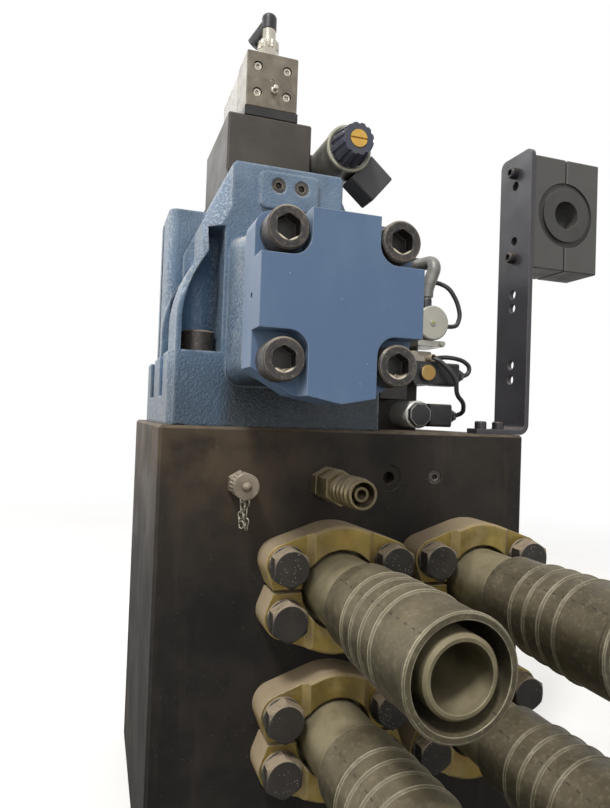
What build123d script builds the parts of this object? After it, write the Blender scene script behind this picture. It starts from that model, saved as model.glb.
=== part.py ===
"""Hydraulic valve and manifold unit of an injection molding machine.

A steel manifold block carries a cast, pilot operated directional valve on its top face
and four hose ends with split flange clamps on its front face. Beside the valve stand two
small solenoid valves and a pressure switch, and an L bracket holds a hose clamp.

Millimetres. +X runs to the right along the front face, +Y away from the viewer, +Z up.
The origin is the middle of the block's bottom face.
"""

from build123d import *
from math import cos, pi, radians, sin, sqrt, tan
import os

# Manifold block
block_width = 364.0
block_depth = 300.0
block_height = 400.0
block_edge = 2.5
foot_hole_spacing_x = 300.0
foot_hole_spacing_y = 240.0
foot_hole_radius = 7.0
foot_hole_depth = 32.0

# Split flange pattern, two inch heavy series
flange_left_x = -26.0
flange_pitch_x = 140.0
flange_below_top = 137.0
flange_pitch_z = 126.0
bolt_spacing_long = 96.8
bolt_spacing_short = 44.45
clamp_thickness = 35.0
clamp_lobe_radius = 18.3
clamp_crown_radius = 55.0
clamp_split_gap = 3.0
clamp_pad_drop = 5.0
clamp_pad_reach = 17.5
clamp_pad_slope = 6.0
clamp_mouth_radius = 34.5
clamp_edge = 2.0
bolt_radius = 10.0
bolt_hole_clearance = 0.5
bolt_thread_depth = 32.0
bolt_tip_room = 4.0
bolt_head_flats = 30.0
bolt_head_height = 12.5
bolt_crown_radius = 14.4
bolt_crown_angle = 30.0
washer_radius = 16.5
washer_thickness = 3.0
port_radius = 25.0
port_depth = 120.0

# Hose end: stem, its flange head and the crimped shell, with places measured from the clamp
stem_head_radius = 39.7
stem_head_thickness = 12.6
stem_head_clearance = 0.3
stem_radius = 25.4
stem_collar_radius = 27.0
stem_bore_radius = 21.0
stem_tip_chamfer = 2.0
hose_end_length = 188.0
neck_radius = 31.0
neck_length = 49.0
neck_edge = 1.0
shell_collar_wall = 5.5
shell_start_radius = 35.0
shell_start_length = 2.0
shell_radius = 37.5
shell_wall = 4.0
shell_ridges = 4
shell_first_ridge = 89.0
shell_ridge_pitch = 17.0
shell_ridge_height = 1.3
shell_ridge_front = 2.0
shell_ridge_back = 3.0
shell_groove_depth = 1.2
shell_lip_height = 1.2
shell_lip_length = 7.0
shell_lip_bevel = 3.0
shell_lip_edge = 1.0
shell_solid_length = 66.0

# Main valve casting
valve_x = -74.5
valve_front_setback = 5.0
valve_length = 250.0
valve_base_width = 200.0
valve_base_corner = 22.0
lug_height = 65.0
lug_width = 54.0
lug_pocket_depth = 36.0
lug_plate_height = 26.0
lug_screw_spacing = 146.0
lug_screw_inset = 30.0
lug_screw_middle = 118.0
lug_seat_clearance = 2.0
lug_scoop_inner = 56.5
lug_scoop_outer = 92.0
lug_scoop_roof = 176.0
lug_scoop_wall = 4.5
body_top_height = 235.0
body_top_half_width = 49.0
core_half_width = 52.0
core_edge = 3.0
shoulder_side_height = 86.0
shoulder_mid_half_width = 89.5
shoulder_mid_height = 126.0
shoulder_top_half_width = 75.0
shoulder_top_height = 153.0
shoulder_inset = 4.0
shoulder_slope_height = 181.0
shoulder_bevel = 15.0
front_wall_thickness = 58.0
second_rib_place = 125.0
rib_thickness = 20.0
rear_housing_start = 155.0
rear_housing_half_width = 89.5
rear_housing_edge = 10.0
spool_height = 92.5
neck_reach = 99.0
neck_half_width = 60.0
neck_below_spool = 56.0
neck_root_half_width = 52.0
neck_root_growth = 22.0
neck_corner = 14.0

# End covers of the spool
cover_thickness = 48.0
cover_half_width = 60.0
cover_above_spool = 59.5
cover_side_below_spool = 49.0
cover_bevel_half_width = 29.0
cover_bevel_below_spool = 67.0
cover_point_below_spool = 72.5
cover_corner = 12.0
cover_screw_spacing_x = 83.5
cover_screw_spacing_z = 88.0
pocket_half_gap = 25.2
pocket_below_top = 33.5
pocket_below_spool = 24.0
pocket_corner = 14.0
pocket_depth = 20.0
cover_side_hole_radius = 2.5
cover_side_hole_depth = 14.0

# Socket head screws: thread diameter and length under the head, with the usual shares of the thread
cover_screw_thread = 20.0
cover_screw_length = 50.0
lug_screw_thread = 20.0
lug_screw_length = 92.0
screw_head_share = 1.5
screw_key_share = 0.8
screw_key_depth_share = 0.55
screw_edge = 1.2
screw_clearance = 0.25
screw_tip_room = 3.0
thread_clearance = 0.1

# Pad with two socket plugs on the casting's front
pad_half_width = 27.0
pad_below_body_top = 39.0
pad_height = 33.0
pad_corner = 5.0
pad_thickness = 4.0
plug_spacing = 21.5
plug_above_pad_bottom = 21.0
plug_radius = 6.5
plug_depth = 10.0
plug_key_flats = 6.0
plug_recess = 0.8

# Pilot stage on top of the casting
pilot_setback = 75.0
pilot_base_lead = 12.0
pilot_base_thickness = 17.0
pilot_base_half_width = 45.0
pilot_base_length = 150.0
adapter_half_width = 44.0
adapter_length = 130.0
adapter_height = 63.0
adapter_edge = 1.5
spacer_half_width = 28.0
spacer_thickness = 9.0
spacer_length = 118.0
pilot_half_width = 27.0
pilot_height = 57.5
pilot_cover_length = 44.0
pilot_cover_edge = 1.0
pilot_cover_step = 3.0
pilot_length = 78.0
pilot_edge = 2.0
pilot_coil_radius = 23.0
pilot_coil_edge = 1.5
pilot_coil_length = 56.0
pilot_coil_tip_radius = 11.0
pilot_coil_tip_length = 16.0
pilot_screw_spacing_x = 31.0
pilot_screw_spacing_z = 27.0
pilot_screw_sink_radius = 4.8
pilot_screw_sink_depth = 5.0
nipple_hole_radius = 2.4
nipple_hole_depth = 8.0

# Round sensor connector and its elbow plug on the pilot stage
socket_setback = 24.0
socket_foot_flats = 20.0
socket_foot_height = 20.0
socket_radius = 7.4
socket_height = 17.5
elbow_radius = 8.0
elbow_round = 5.6
elbow_height = 17.5
elbow_arm_radius = 6.2
elbow_arm_length = 28.0
elbow_arm_heading = 215.0
elbow_arm_drop = 50.0
elbow_entry_radius = 3.0
elbow_entry_depth = 8.0

# Solenoid valve on the right of the pilot stage
side_valve_length = 52.0
side_valve_width = 46.0
side_valve_height = 50.0
side_valve_edge = 2.0
side_valve_setback = 38.0
side_axis_out = 23.6
side_axis_rise = 24.0
side_coil_radius = 22.5
side_coil_length = 86.0
side_ring_thickness = 3.0
side_ring_height = 0.8
side_nut_base_radius = 19.0
side_nut_front_radius = 15.5
side_nut_base_length = 6.0
side_nut_length = 25.0
side_nut_flutes = 12
side_nut_flute_radius = 2.6
side_nut_flute_out = 1.2
side_button_radius = 8.5
side_button_depth = 3.0
side_button_rise = 0.6
side_slot_width = 1.6
side_slot_depth = 1.4

# Plugs of the solenoids
side_plug_width = 28.0
side_plug_depth = 34.0
side_plug_reach = 31.0
side_plug_angle = -40.0
side_plug_setback = 4.0
side_plug_sink = 1.5
small_plug_width = 25.0
small_plug_height = 26.0
small_plug_reach = 28.0
small_plug_setback = 2.0
plug_edge = 3.0
plug_face_edge = 1.0
seat_gap = 0.2

# Valve column on the right of the casting
column_left = 42.0
column_width = 88.0
column_setback = 130.0
column_depth = 65.0
column_height = 205.0
column_edge = 2.0
column_nose_inset = 18.0
column_nose_width = 32.0
column_nose_reach = 46.0
column_nose_bottom = 34.0
column_nose_height = 66.0
lower_coil_inset = 67.0
lower_coil_radius = 15.5
lower_coil_edge = 1.5
lower_coil_lift = 2.5
lower_cap_flats = 24.0
upper_coil_inset = 75.0
upper_coil_rise = 65.0
upper_coil_width = 32.0
upper_coil_height = 26.0
upper_coil_corner = 4.0
upper_cap_radius = 9.5
small_coil_length = 43.0
small_cap_length = 5.0

# Pressure switch on its foot
switch_inset = 80.5
switch_rise = 121.5
switch_radius = 19.5
switch_length = 34.0
switch_edge = 1.5
switch_flat = 15.5
switch_setback = 46.0
switch_screw_radius = 3.0
switch_screw_height = 1.6
switch_screw_shift = 1.0
foot_plate_width = 33.0
foot_plate_thickness = 6.4
foot_plate_reach = 42.0
foot_plate_height = 22.0
foot_screw_radius = 3.0
foot_screw_head = 3.0
conduit_radius = 7.5
conduit_shift = 0.5
conduit_rise = 73.0
conduit_bulge = 9.0
conduit_lean = 6.0
conduit_run = 8.0
sleeve_radius = 5.6
sleeve_length = 12.0

# Leads clipped between the switch, the terminal block and the plugs
lead_radius = 2.6
bend_share = 0.45
lead_gap = 0.2
terminal_width = 26.0
terminal_depth = 25.0
terminal_height = 12.0
terminal_corner = 2.0
terminal_shift = 3.0
terminal_setback = 8.0

# L bracket and hose clamp
strip_thickness = 5.0
strip_width = 53.0
strip_gap = 11.0
strip_top_height = 305.0
strip_setback = 13.0
strip_bend_radius = 6.0
strip_corner = 8.0
bracket_foot_length = 57.0
bracket_corner_along = 24.0
bracket_corner_across = 34.0
bracket_foot_bolt_inset = 16.0
bracket_foot_bolt_pitch = 21.0
bracket_foot_bolt_setback = 21.0
strip_hole_radius = 5.2
strip_hole_heights = (59.0, 75.0, 137.0, 152.0, 210.0, 271.0)
hose_clamp_width = 86.0
hose_clamp_depth = 46.0
hose_clamp_height = 121.0
hose_clamp_bottom = 178.0
hose_clamp_split = 1.5
hose_clamp_edge = 1.0
clamp_bolt_spacing = 93.0
grommet_radius = 35.0
grommet_bore_radius = 15.0
grommet_rim = 1.5
grommet_rim_wall = 14.0
grommet_step = 2.0
bracket_screw_thread = 8.0
bracket_screw_length = 16.0
clamp_bolt_length = 70.0

# Test point, small hose fitting and plugged ports on the front face
test_point_x = -111.5
front_port_below_top = 49.0
test_hex_flats = 20.0
test_hex_length = 9.0
test_stem_radius = 7.0
test_stem_length = 14.0
test_cap_radius = 11.0
test_cap_length = 19.0
test_cap_grooves = 20
test_groove_radius = 1.3
test_groove_out = 0.6
test_groove_margin = 3.0
test_ball_radius = 4.0
test_ball_out = 2.5
fitting_x = -31.5
fitting_hex_flats = 27.0
fitting_hex_length = 12.0
fitting_neck_radius = 10.0
fitting_neck_length = 8.0
fitting_nut_flats = 27.0
fitting_nut_length = 20.0
fitting_shell_radius = 13.0
fitting_shell_length = 46.0
fitting_shell_rings = 4
fitting_ring_depth = 1.2
fitting_ring_margin = 6.0
fitting_shell_back_wall = 3.0
fitting_bore_radius = 4.0
fitting_stem_radius = 6.0
fitting_stem_setback = 3.0
fitting_socket_radius = 10.0
fitting_socket_depth = 30.0
open_port_x = 32.5
open_port_below_top = 44.0
open_port_radius = 5.8
open_port_length = 16.0
spot_face_radius = 12.5
spot_face_depth = 1.0
port_plug_x = 81.5
port_plug_below_top = 43.0

# Places that follow from the sizes above
block_front = -block_depth / 2
block_right = block_width / 2
block_top = block_height
clamp_front = block_front - clamp_thickness
bolt_seat = clamp_front + clamp_pad_drop
flange_xs = (flange_left_x, flange_left_x + flange_pitch_x)
flange_zs = (block_top - flange_below_top, block_top - flange_below_top - flange_pitch_z)
flange_centres = [(x, z) for z in flange_zs for x in flange_xs]
front_port_z = block_top - front_port_below_top
valve_front = block_front + valve_front_setback
valve_back = valve_front + valve_length
body_top = block_top + body_top_height
spool_z = block_top + spool_height
cover_back_front = valve_front - neck_reach
cover_face_front = cover_back_front - cover_thickness
cover_back_rear = valve_back + neck_reach
pad_bottom = body_top - pad_below_body_top
pad_plug_z = pad_bottom + plug_above_pad_bottom
adapter_front = valve_front + pilot_setback
pilot_base_front = adapter_front - pilot_base_lead
adapter_bottom = body_top + pilot_base_thickness
adapter_top = adapter_bottom + adapter_height
pilot_bottom = adapter_top + spacer_thickness
pilot_top = pilot_bottom + pilot_height
pilot_middle_z = (pilot_bottom + pilot_top) / 2
side_x = valve_x + adapter_half_width + side_axis_out
side_z = adapter_bottom + side_axis_rise
side_coil_back = adapter_front + side_valve_setback
side_coil_front = side_coil_back - side_coil_length
side_nut_tip = side_coil_front - side_nut_length
column_front = block_front + column_setback
small_coil_front = column_front - small_coil_length
small_plug_y = small_coil_front + small_plug_setback + small_plug_width / 2
lower_coil_x = column_left + lower_coil_inset
lower_coil_z = block_top + lower_coil_radius + lower_coil_lift
lower_plug_left = lower_coil_x + lower_coil_radius + seat_gap
upper_coil_x = column_left + upper_coil_inset
upper_coil_z = block_top + upper_coil_rise
upper_plug_left = upper_coil_x + upper_coil_width / 2
terminal_x = upper_coil_x - terminal_shift
terminal_front = small_coil_front + terminal_setback
terminal_bottom = upper_coil_z + upper_coil_height / 2
switch_x = column_left + switch_inset
switch_z = block_top + switch_rise
switch_front = column_front - switch_setback
switch_middle_y = switch_front + switch_length / 2
strip_left = block_right + strip_gap
strip_right = strip_left + strip_thickness
strip_front = block_front + strip_setback
strip_middle_y = strip_front + strip_width / 2
bracket_outer_bolt_x = block_right - bracket_foot_bolt_inset
bracket_bolt_xs = (bracket_outer_bolt_x - bracket_foot_bolt_pitch, bracket_outer_bolt_x)
bracket_bolt_y = block_front + bracket_foot_bolt_setback
hose_clamp_x = strip_right + hose_clamp_width / 2
hose_clamp_z = block_top + hose_clamp_bottom + hose_clamp_height / 2
clamp_bolt_zs = [hose_clamp_z + side * clamp_bolt_spacing / 2 for side in (-1, 1)]


def box(x0, x1, y0, y1, z0, z1):
    """A box between two corners."""
    middle = ((x0 + x1) / 2, (y0 + y1) / 2, (z0 + z1) / 2)
    return Pos(*middle) * Box(abs(x1 - x0), abs(y1 - y0), abs(z1 - z0))


def rod(radius, start, end):
    """A round rod from one point to another."""
    start = Vector(*start)
    end = Vector(*end)
    along = end - start
    plane = Plane(origin=start, z_dir=along)
    return extrude(plane * Circle(radius), along.length)


def hexagon_rod(flats, start, end):
    """A hexagon bar from one point to another, measured across its flats."""
    start = Vector(*start)
    end = Vector(*end)
    along = end - start
    plane = Plane(origin=start, z_dir=along)
    return extrude(plane * RegularPolygon(flats / 2, 6, major_radius=False), along.length)


def octagon_rod(flats, start, end):
    """An eight-sided bar from one point to another, measured across its flats."""
    start = Vector(*start)
    end = Vector(*end)
    along = end - start
    plane = Plane(origin=start, z_dir=along)
    return extrude(plane * RegularPolygon(flats / 2, 8, major_radius=False, rotation=22.5), along.length)


def front_sketch(sketch, y):
    """A sketch drawn in X and Z, standing on the plane at depth y and facing the viewer."""
    return Plane(origin=(0, y, 0), x_dir=(1, 0, 0), z_dir=(0, -1, 0)) * sketch


def toward_viewer(sketch, y_back, y_front):
    """Extrude an X-Z sketch from its back plane towards the viewer."""
    return extrude(front_sketch(sketch, y_back), y_back - y_front)


def turned(profile, centre_x, centre_z):
    """Turn a profile of (radius, y) points about an axis along Y."""
    points = [(centre_x + radius, y, centre_z) for radius, y in profile]
    face = make_face(Polyline(*points, close=True))
    axis = Axis((centre_x, 0, centre_z), (0, 1, 0))
    return revolve(face, axis)


def socket_screw(thread, length, under_head, direction):
    """A socket head screw; under_head is the seat and direction points out of the head."""
    seat = Vector(*under_head)
    out = Vector(*direction)
    head_height = thread
    head = rod(thread * screw_head_share / 2, seat, seat + out * head_height)
    rim = head.edges().filter_by(GeomType.CIRCLE).sort_by(Axis(seat, out))[-1]
    head = chamfer(rim, screw_edge)
    shank = rod(thread / 2, seat, seat - out * length)
    key_floor = head_height * (1 - screw_key_depth_share)
    key = hexagon_rod(thread * screw_key_share, seat + out * key_floor, seat + out * (head_height + 1))
    return head + shank - key


def cover_outline():
    """Outline of the end cover in X and Z: square shoulders, bevelled foot with a blunt point."""
    left = valve_x - cover_half_width
    right = valve_x + cover_half_width
    points = [
        (left, spool_z + cover_above_spool),
        (right, spool_z + cover_above_spool),
        (right, spool_z - cover_side_below_spool),
        (valve_x + cover_bevel_half_width, spool_z - cover_bevel_below_spool),
        (valve_x, spool_z - cover_point_below_spool),
        (valve_x - cover_bevel_half_width, spool_z - cover_bevel_below_spool),
        (left, spool_z - cover_side_below_spool),
    ]
    outline = make_face(Polyline(*points, close=True))
    shoulders = outline.vertices().group_by(Axis.Y)[-1]
    return fillet(shoulders, cover_corner)


def cover_screw_places():
    """Centres of the four screws of one end cover."""
    half_x = cover_screw_spacing_x / 2
    half_z = cover_screw_spacing_z / 2
    return [(valve_x + sx * half_x, spool_z + sz * half_z) for sx in (-1, 1) for sz in (-1, 1)]


def corner_pocket(side, upper):
    """Sketch of the pocket round one cover screw, with one round inner corner."""
    inner = valve_x + side * pocket_half_gap
    outer = valve_x + side * (cover_half_width + pocket_corner)
    top = spool_z + cover_above_spool
    if upper:
        low, high = top - pocket_below_top, top + pocket_corner
    else:
        low, high = spool_z - cover_point_below_spool - pocket_corner, spool_z - pocket_below_spool
    middle = ((inner + outer) / 2, (low + high) / 2)
    pocket = Pos(*middle) * Rectangle(abs(outer - inner), high - low)
    by_side = pocket.vertices().group_by(Axis.X)[0 if side > 0 else -1]
    corner = by_side.sort_by(Axis.Y)[0 if upper else -1]
    return fillet(corner, pocket_corner)


def end_cover(side):
    """One end cover, made at the front (side -1) or the rear (side +1)."""
    cover = toward_viewer(cover_outline(), cover_back_front, cover_face_front)
    for pocket_side in (-1, 1):
        for upper in (False, True):
            sketch = corner_pocket(pocket_side, upper)
            cut = toward_viewer(sketch, cover_face_front + pocket_depth, cover_face_front - 1)
            cover = cover - cut
    for x, z in cover_screw_places():
        hole_radius = cover_screw_thread / 2 + screw_clearance
        cover = cover - rod(hole_radius, (x, cover_face_front - 1, z), (x, cover_back_front + 1, z))
    left = valve_x - cover_half_width
    hole_y = cover_back_front - cover_thickness / 2
    hole_end = (left + cover_side_hole_depth, hole_y, spool_z)
    cover = cover - rod(cover_side_hole_radius, (left - 1, hole_y, spool_z), hole_end)
    if side > 0:
        middle = Plane(origin=(0, (valve_front + valve_back) / 2, 0), z_dir=(0, 1, 0))
        cover = mirror(cover, about=middle)
    return cover


def shoulder_outline():
    """Outline of a rib of the casting: upright foot, arched shoulders, narrow top."""
    half = valve_base_width / 2 - shoulder_inset
    base = block_top + 1.0
    side = block_top + shoulder_side_height
    right_arc = ThreePointArc(
        (valve_x + half, side),
        (valve_x + shoulder_mid_half_width, block_top + shoulder_mid_height),
        (valve_x + shoulder_top_half_width, block_top + shoulder_top_height),
    )
    left_arc = ThreePointArc(
        (valve_x - half, side),
        (valve_x - shoulder_mid_half_width, block_top + shoulder_mid_height),
        (valve_x - shoulder_top_half_width, block_top + shoulder_top_height),
    )
    top = Polyline(
        (valve_x + shoulder_top_half_width, block_top + shoulder_top_height),
        (valve_x + shoulder_top_half_width, block_top + shoulder_slope_height),
        (valve_x + body_top_half_width, body_top),
        (valve_x - body_top_half_width, body_top),
        (valve_x - shoulder_top_half_width, block_top + shoulder_slope_height),
        (valve_x - shoulder_top_half_width, block_top + shoulder_top_height),
    )
    foot = Polyline(
        (valve_x - half, side),
        (valve_x - half, base),
        (valve_x + half, base),
        (valve_x + half, side),
    )
    return make_face([right_arc, left_arc, top, foot])


def lug_rows():
    """Depths of the three rows of screws that hold the casting to the block."""
    return (valve_front + lug_screw_inset, valve_front + lug_screw_middle, valve_back - lug_screw_inset)


def lug_screw_places():
    """Centres of the six screws that hold the casting to the block."""
    return [(valve_x + side * lug_screw_spacing / 2, y) for side in (-1, 1) for y in lug_rows()]


def lug_scoop(side):
    """The cast recess that opens to the front round one front lug screw, under the arched shoulder."""
    inner = valve_x + side * lug_scoop_inner
    outer = valve_x + side * lug_scoop_outer
    width = lug_scoop_outer - lug_scoop_inner
    floor = block_top + lug_height
    roof = block_top + lug_scoop_roof
    axis_y = valve_front + lug_screw_inset
    middle_x = (inner + outer) / 2
    slot = box(inner, outer, valve_front - 1, axis_y, floor, roof)
    slot = slot + rod(width / 2, (middle_x, axis_y, floor), (middle_x, axis_y, roof))
    inside_shoulder = offset(shoulder_outline(), -lug_scoop_wall, kind=Kind.INTERSECTION)
    return slot & toward_viewer(inside_shoulder, axis_y + width, valve_front - 1)


def front_wall():
    """The thick front wall of the casting, bevelled at the top and scooped out round the lug screws."""
    wall = toward_viewer(shoulder_outline(), valve_front + front_wall_thickness, valve_front)
    front_edges = wall.edges().group_by(Axis.Y)[0].filter_by(GeomType.LINE)
    slope_foot = block_top + shoulder_slope_height
    slopes = [edge for edge in front_edges if slope_foot < edge.center().Z < body_top]
    wall = chamfer(slopes, shoulder_bevel)
    return wall - lug_scoop(-1) - lug_scoop(1)


def neck(root_y, end_y):
    """The rough cast neck between the body wall and one end cover."""
    low = spool_z - neck_below_spool
    high = spool_z + cover_above_spool - cover_corner / 2
    end = Pos(valve_x, (low + high) / 2) * RectangleRounded(2 * neck_half_width, high - low, neck_corner)
    root_width = 2 * neck_root_half_width
    root_tall = high - low + neck_root_growth
    root_middle = (low + high + neck_root_growth) / 2
    root = Pos(valve_x, root_middle) * RectangleRounded(root_width, root_tall, neck_corner)
    return loft([front_sketch(root, root_y), front_sketch(end, end_y)])


def make_valve_body():
    """The blue casting: base with screw lugs, ribbed barrel, rear housing and two necks."""
    half = valve_base_width / 2
    base = box(valve_x - half, valve_x + half, valve_front, valve_back, block_top, block_top + lug_height)
    base = fillet(base.edges().filter_by(Axis.Z), valve_base_corner)
    rows = lug_rows()
    for near, far in zip(rows[:-1], rows[1:]):
        for side in (-1, 1):
            outer = valve_x + side * (half + 1)
            inner = valve_x + side * (half - lug_pocket_depth)
            y0 = near + lug_width / 2
            y1 = far - lug_width / 2
            pocket = box(inner, outer, y0, y1, block_top + lug_plate_height, block_top + lug_height + 1)
            base = base - pocket
    core = box(
        valve_x - core_half_width, valve_x + core_half_width,
        valve_front, valve_back,
        block_top + lug_plate_height, body_top,
    )
    core = chamfer(core.edges().filter_by(Axis.Y).group_by(Axis.Z)[-1], core_edge)
    second_front = valve_front + second_rib_place
    second_rib = toward_viewer(shoulder_outline(), second_front + rib_thickness, second_front)
    housing_half = rear_housing_half_width
    housing = box(
        valve_x - housing_half, valve_x + housing_half,
        valve_front + rear_housing_start, valve_back,
        block_top + lug_plate_height, body_top,
    )
    housing = fillet(housing.edges().filter_by(Axis.Z), rear_housing_edge)
    body = base + core + front_wall() + second_rib + housing
    body = body + neck(valve_front + 1, cover_back_front) + neck(valve_back - 1, cover_back_rear)
    pad = box(
        valve_x - pad_half_width, valve_x + pad_half_width,
        valve_front - pad_thickness, valve_front + 1,
        pad_bottom, pad_bottom + pad_height,
    )
    pad = fillet(pad.edges().filter_by(Axis.Y), pad_corner)
    body = body + pad
    seat = block_top + lug_height
    seat_radius = lug_screw_thread * screw_head_share / 2 + lug_seat_clearance
    for x, y in lug_screw_places():
        body = body - rod(lug_screw_thread / 2 + screw_clearance, (x, y, block_top - 1), (x, y, seat + 1))
        if y > valve_front + front_wall_thickness:
            body = body - rod(seat_radius, (x, y, seat), (x, y, body_top))
    for x in socket_plug_xs():
        start = (x, valve_front - pad_thickness - 1, pad_plug_z)
        end = (x, valve_front - pad_thickness + plug_depth, pad_plug_z)
        body = body - rod(plug_radius + screw_clearance, start, end)
    reach = cover_screw_length - (cover_thickness - pocket_depth) + screw_tip_room
    for x, z in cover_screw_places():
        radius = cover_screw_thread / 2 + thread_clearance
        body = body - rod(radius, (x, cover_back_front - 1, z), (x, cover_back_front + reach, z))
        body = body - rod(radius, (x, cover_back_rear + 1, z), (x, cover_back_rear - reach, z))
    return body


def socket_plug_xs():
    """X places of the two socket plugs on the casting's pad."""
    return (valve_x - plug_spacing / 2, valve_x + plug_spacing / 2)


def make_socket_screws():
    """All socket head screws of the casting: covers and lugs."""
    screws = []
    front_seat = cover_face_front + pocket_depth
    rear_seat = cover_back_rear + cover_thickness - pocket_depth
    for x, z in cover_screw_places():
        screws.append(socket_screw(cover_screw_thread, cover_screw_length, (x, front_seat, z), (0, -1, 0)))
        screws.append(socket_screw(cover_screw_thread, cover_screw_length, (x, rear_seat, z), (0, 1, 0)))
    for x, y in lug_screw_places():
        seat = (x, y, block_top + lug_height)
        screws.append(socket_screw(lug_screw_thread, lug_screw_length, seat, (0, 0, 1)))
    return Compound(children=screws)


def socket_plug(x, face_y, z):
    """A screwed plug with a hexagon socket, sunk a little below the face it closes."""
    start = face_y + plug_recess
    plug = rod(plug_radius, (x, start, z), (x, face_y + plug_depth, z))
    return plug - hexagon_rod(plug_key_flats, (x, start - 1, z), (x, start + plug_depth / 2, z))


def make_socket_plugs():
    """Two plugs in the casting's pad and one in the block's front face."""
    plugs = [socket_plug(x, valve_front - pad_thickness, pad_plug_z) for x in socket_plug_xs()]
    plugs.append(socket_plug(port_plug_x, block_front, block_top - port_plug_below_top))
    return Compound(children=plugs)


def front_hole(radius, x, z, depth):
    """A round hole straight into the block's front face."""
    return rod(radius, (x, block_front - 1, z), (x, block_front + depth, z))


def make_manifold_block():
    """The drilled steel block."""
    block = box(-block_width / 2, block_right, block_front, -block_front, 0, block_top)
    block = chamfer(block.edges(), block_edge)
    holes = []
    for x, z in flange_centres:
        holes.append(front_hole(port_radius, x, z, port_depth))
        for bolt_x, bolt_z in flange_bolt_places(x, z):
            holes.append(front_hole(bolt_radius + thread_clearance, bolt_x, bolt_z, bolt_thread_depth))
    for x, y in lug_screw_places():
        depth = lug_screw_length - lug_height + screw_tip_room
        radius = lug_screw_thread / 2 + thread_clearance
        holes.append(rod(radius, (x, y, block_top + 1), (x, y, block_top - depth)))
    for x in bracket_bolt_xs:
        depth = bracket_screw_length - strip_thickness + screw_tip_room
        radius = bracket_screw_thread / 2 + thread_clearance
        holes.append(rod(radius, (x, bracket_bolt_y, block_top + 1), (x, bracket_bolt_y, block_top - depth)))
    for side_x in (-1, 1):
        for side_y in (-1, 1):
            x = side_x * foot_hole_spacing_x / 2
            y = side_y * foot_hole_spacing_y / 2
            holes.append(rod(foot_hole_radius, (x, y, -1), (x, y, foot_hole_depth)))
    z = block_top - open_port_below_top
    holes.append(front_hole(spot_face_radius, open_port_x, z, spot_face_depth))
    holes.append(front_hole(open_port_radius, open_port_x, z, spot_face_depth + open_port_length))
    z = block_top - port_plug_below_top
    holes.append(front_hole(plug_radius + screw_clearance, port_plug_x, z, plug_depth))
    return block - holes


def flange_bolt_places(x, z):
    """The four bolts round one hose end."""
    half_long = bolt_spacing_long / 2
    half_short = bolt_spacing_short / 2
    return [(x + sx * half_long, z + sz * half_short) for sx in (-1, 1) for sz in (-1, 1)]


def clamp_pad_cut(x, z, side):
    """What is taken off one end of a clamp's face, so that the bolt pads lie lower than the crown."""
    pad_x = x + side * (bolt_spacing_long / 2 - clamp_pad_reach)
    crown_x = pad_x - side * clamp_pad_slope
    outer_x = x + side * (bolt_spacing_long / 2 + clamp_lobe_radius + 1)
    points = [(outer_x, clamp_front - 1), (crown_x, clamp_front - 1), (crown_x, clamp_front)]
    points += [(pad_x, bolt_seat), (outer_x, bolt_seat)]
    sketch = Plane(origin=(0, 0, z - clamp_crown_radius)) * make_face(Polyline(*points, close=True))
    return extrude(sketch, 2 * clamp_crown_radius, dir=(0, 0, 1))


def clamp_half(x, z, upper):
    """One half of a split flange clamp: two bolt lobes joined by a crown, with a stepped mouth."""
    sign = 1 if upper else -1
    lobe_z = z + sign * bolt_spacing_short / 2
    circles = [
        Pos(x - bolt_spacing_long / 2, lobe_z) * Circle(clamp_lobe_radius),
        Pos(x + bolt_spacing_long / 2, lobe_z) * Circle(clamp_lobe_radius),
        Pos(x, z) * Circle(clamp_crown_radius),
    ]
    outline = make_hull([edge for circle in circles for edge in circle.edges()])
    reach = clamp_crown_radius + 1
    width = bolt_spacing_long + 2 * clamp_lobe_radius + 2
    keep = Pos(x, z + sign * (clamp_split_gap / 2 + reach / 2)) * Rectangle(width, reach)
    half = toward_viewer(outline & keep, block_front, clamp_front)
    rim = half.edges().group_by(Axis.Y)[0]
    half = chamfer(rim, clamp_edge)
    mouth = rod(clamp_mouth_radius, (x, clamp_front - 1, z), (x, block_front + 1, z))
    recess_radius = stem_head_radius + stem_head_clearance
    recess_y = block_front - stem_head_thickness - stem_head_clearance
    recess = rod(recess_radius, (x, recess_y, z), (x, block_front + 1, z))
    half = half - mouth - recess - clamp_pad_cut(x, z, -1) - clamp_pad_cut(x, z, 1)
    for bx, bz in flange_bolt_places(x, z):
        if (bz - z) * sign > 0:
            radius = bolt_radius + bolt_hole_clearance
            half = half - rod(radius, (bx, clamp_front - 1, bz), (bx, block_front + 1, bz))
    return half


def make_flange_clamp(x, z):
    """Both halves of the clamp of one hose end."""
    return Compound(children=[clamp_half(x, z, False), clamp_half(x, z, True)])


def hex_bolt(x, z):
    """A hexagon bolt with its washer, through a flange clamp into the block."""
    washer_front = bolt_seat - washer_thickness
    head_front = washer_front - bolt_head_height
    washer = rod(washer_radius, (x, bolt_seat, z), (x, washer_front, z))
    head = hexagon_rod(bolt_head_flats, (x, washer_front, z), (x, head_front, z))
    cone_foot_radius = bolt_crown_radius + bolt_head_height / tan(radians(bolt_crown_angle))
    cone = Cone(cone_foot_radius, bolt_crown_radius, bolt_head_height)
    cone = Pos(x, head_front + bolt_head_height / 2, z) * Rot(90, 0, 0) * cone
    head = head & cone
    shank = rod(bolt_radius, (x, bolt_seat, z), (x, block_front + bolt_thread_depth - bolt_tip_room, z))
    return washer + head + shank


def make_flange_bolts():
    """The sixteen bolts of the hose ends."""
    bolts = [hex_bolt(bx, bz) for x, z in flange_centres for bx, bz in flange_bolt_places(x, z)]
    return Compound(children=bolts)


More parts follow.
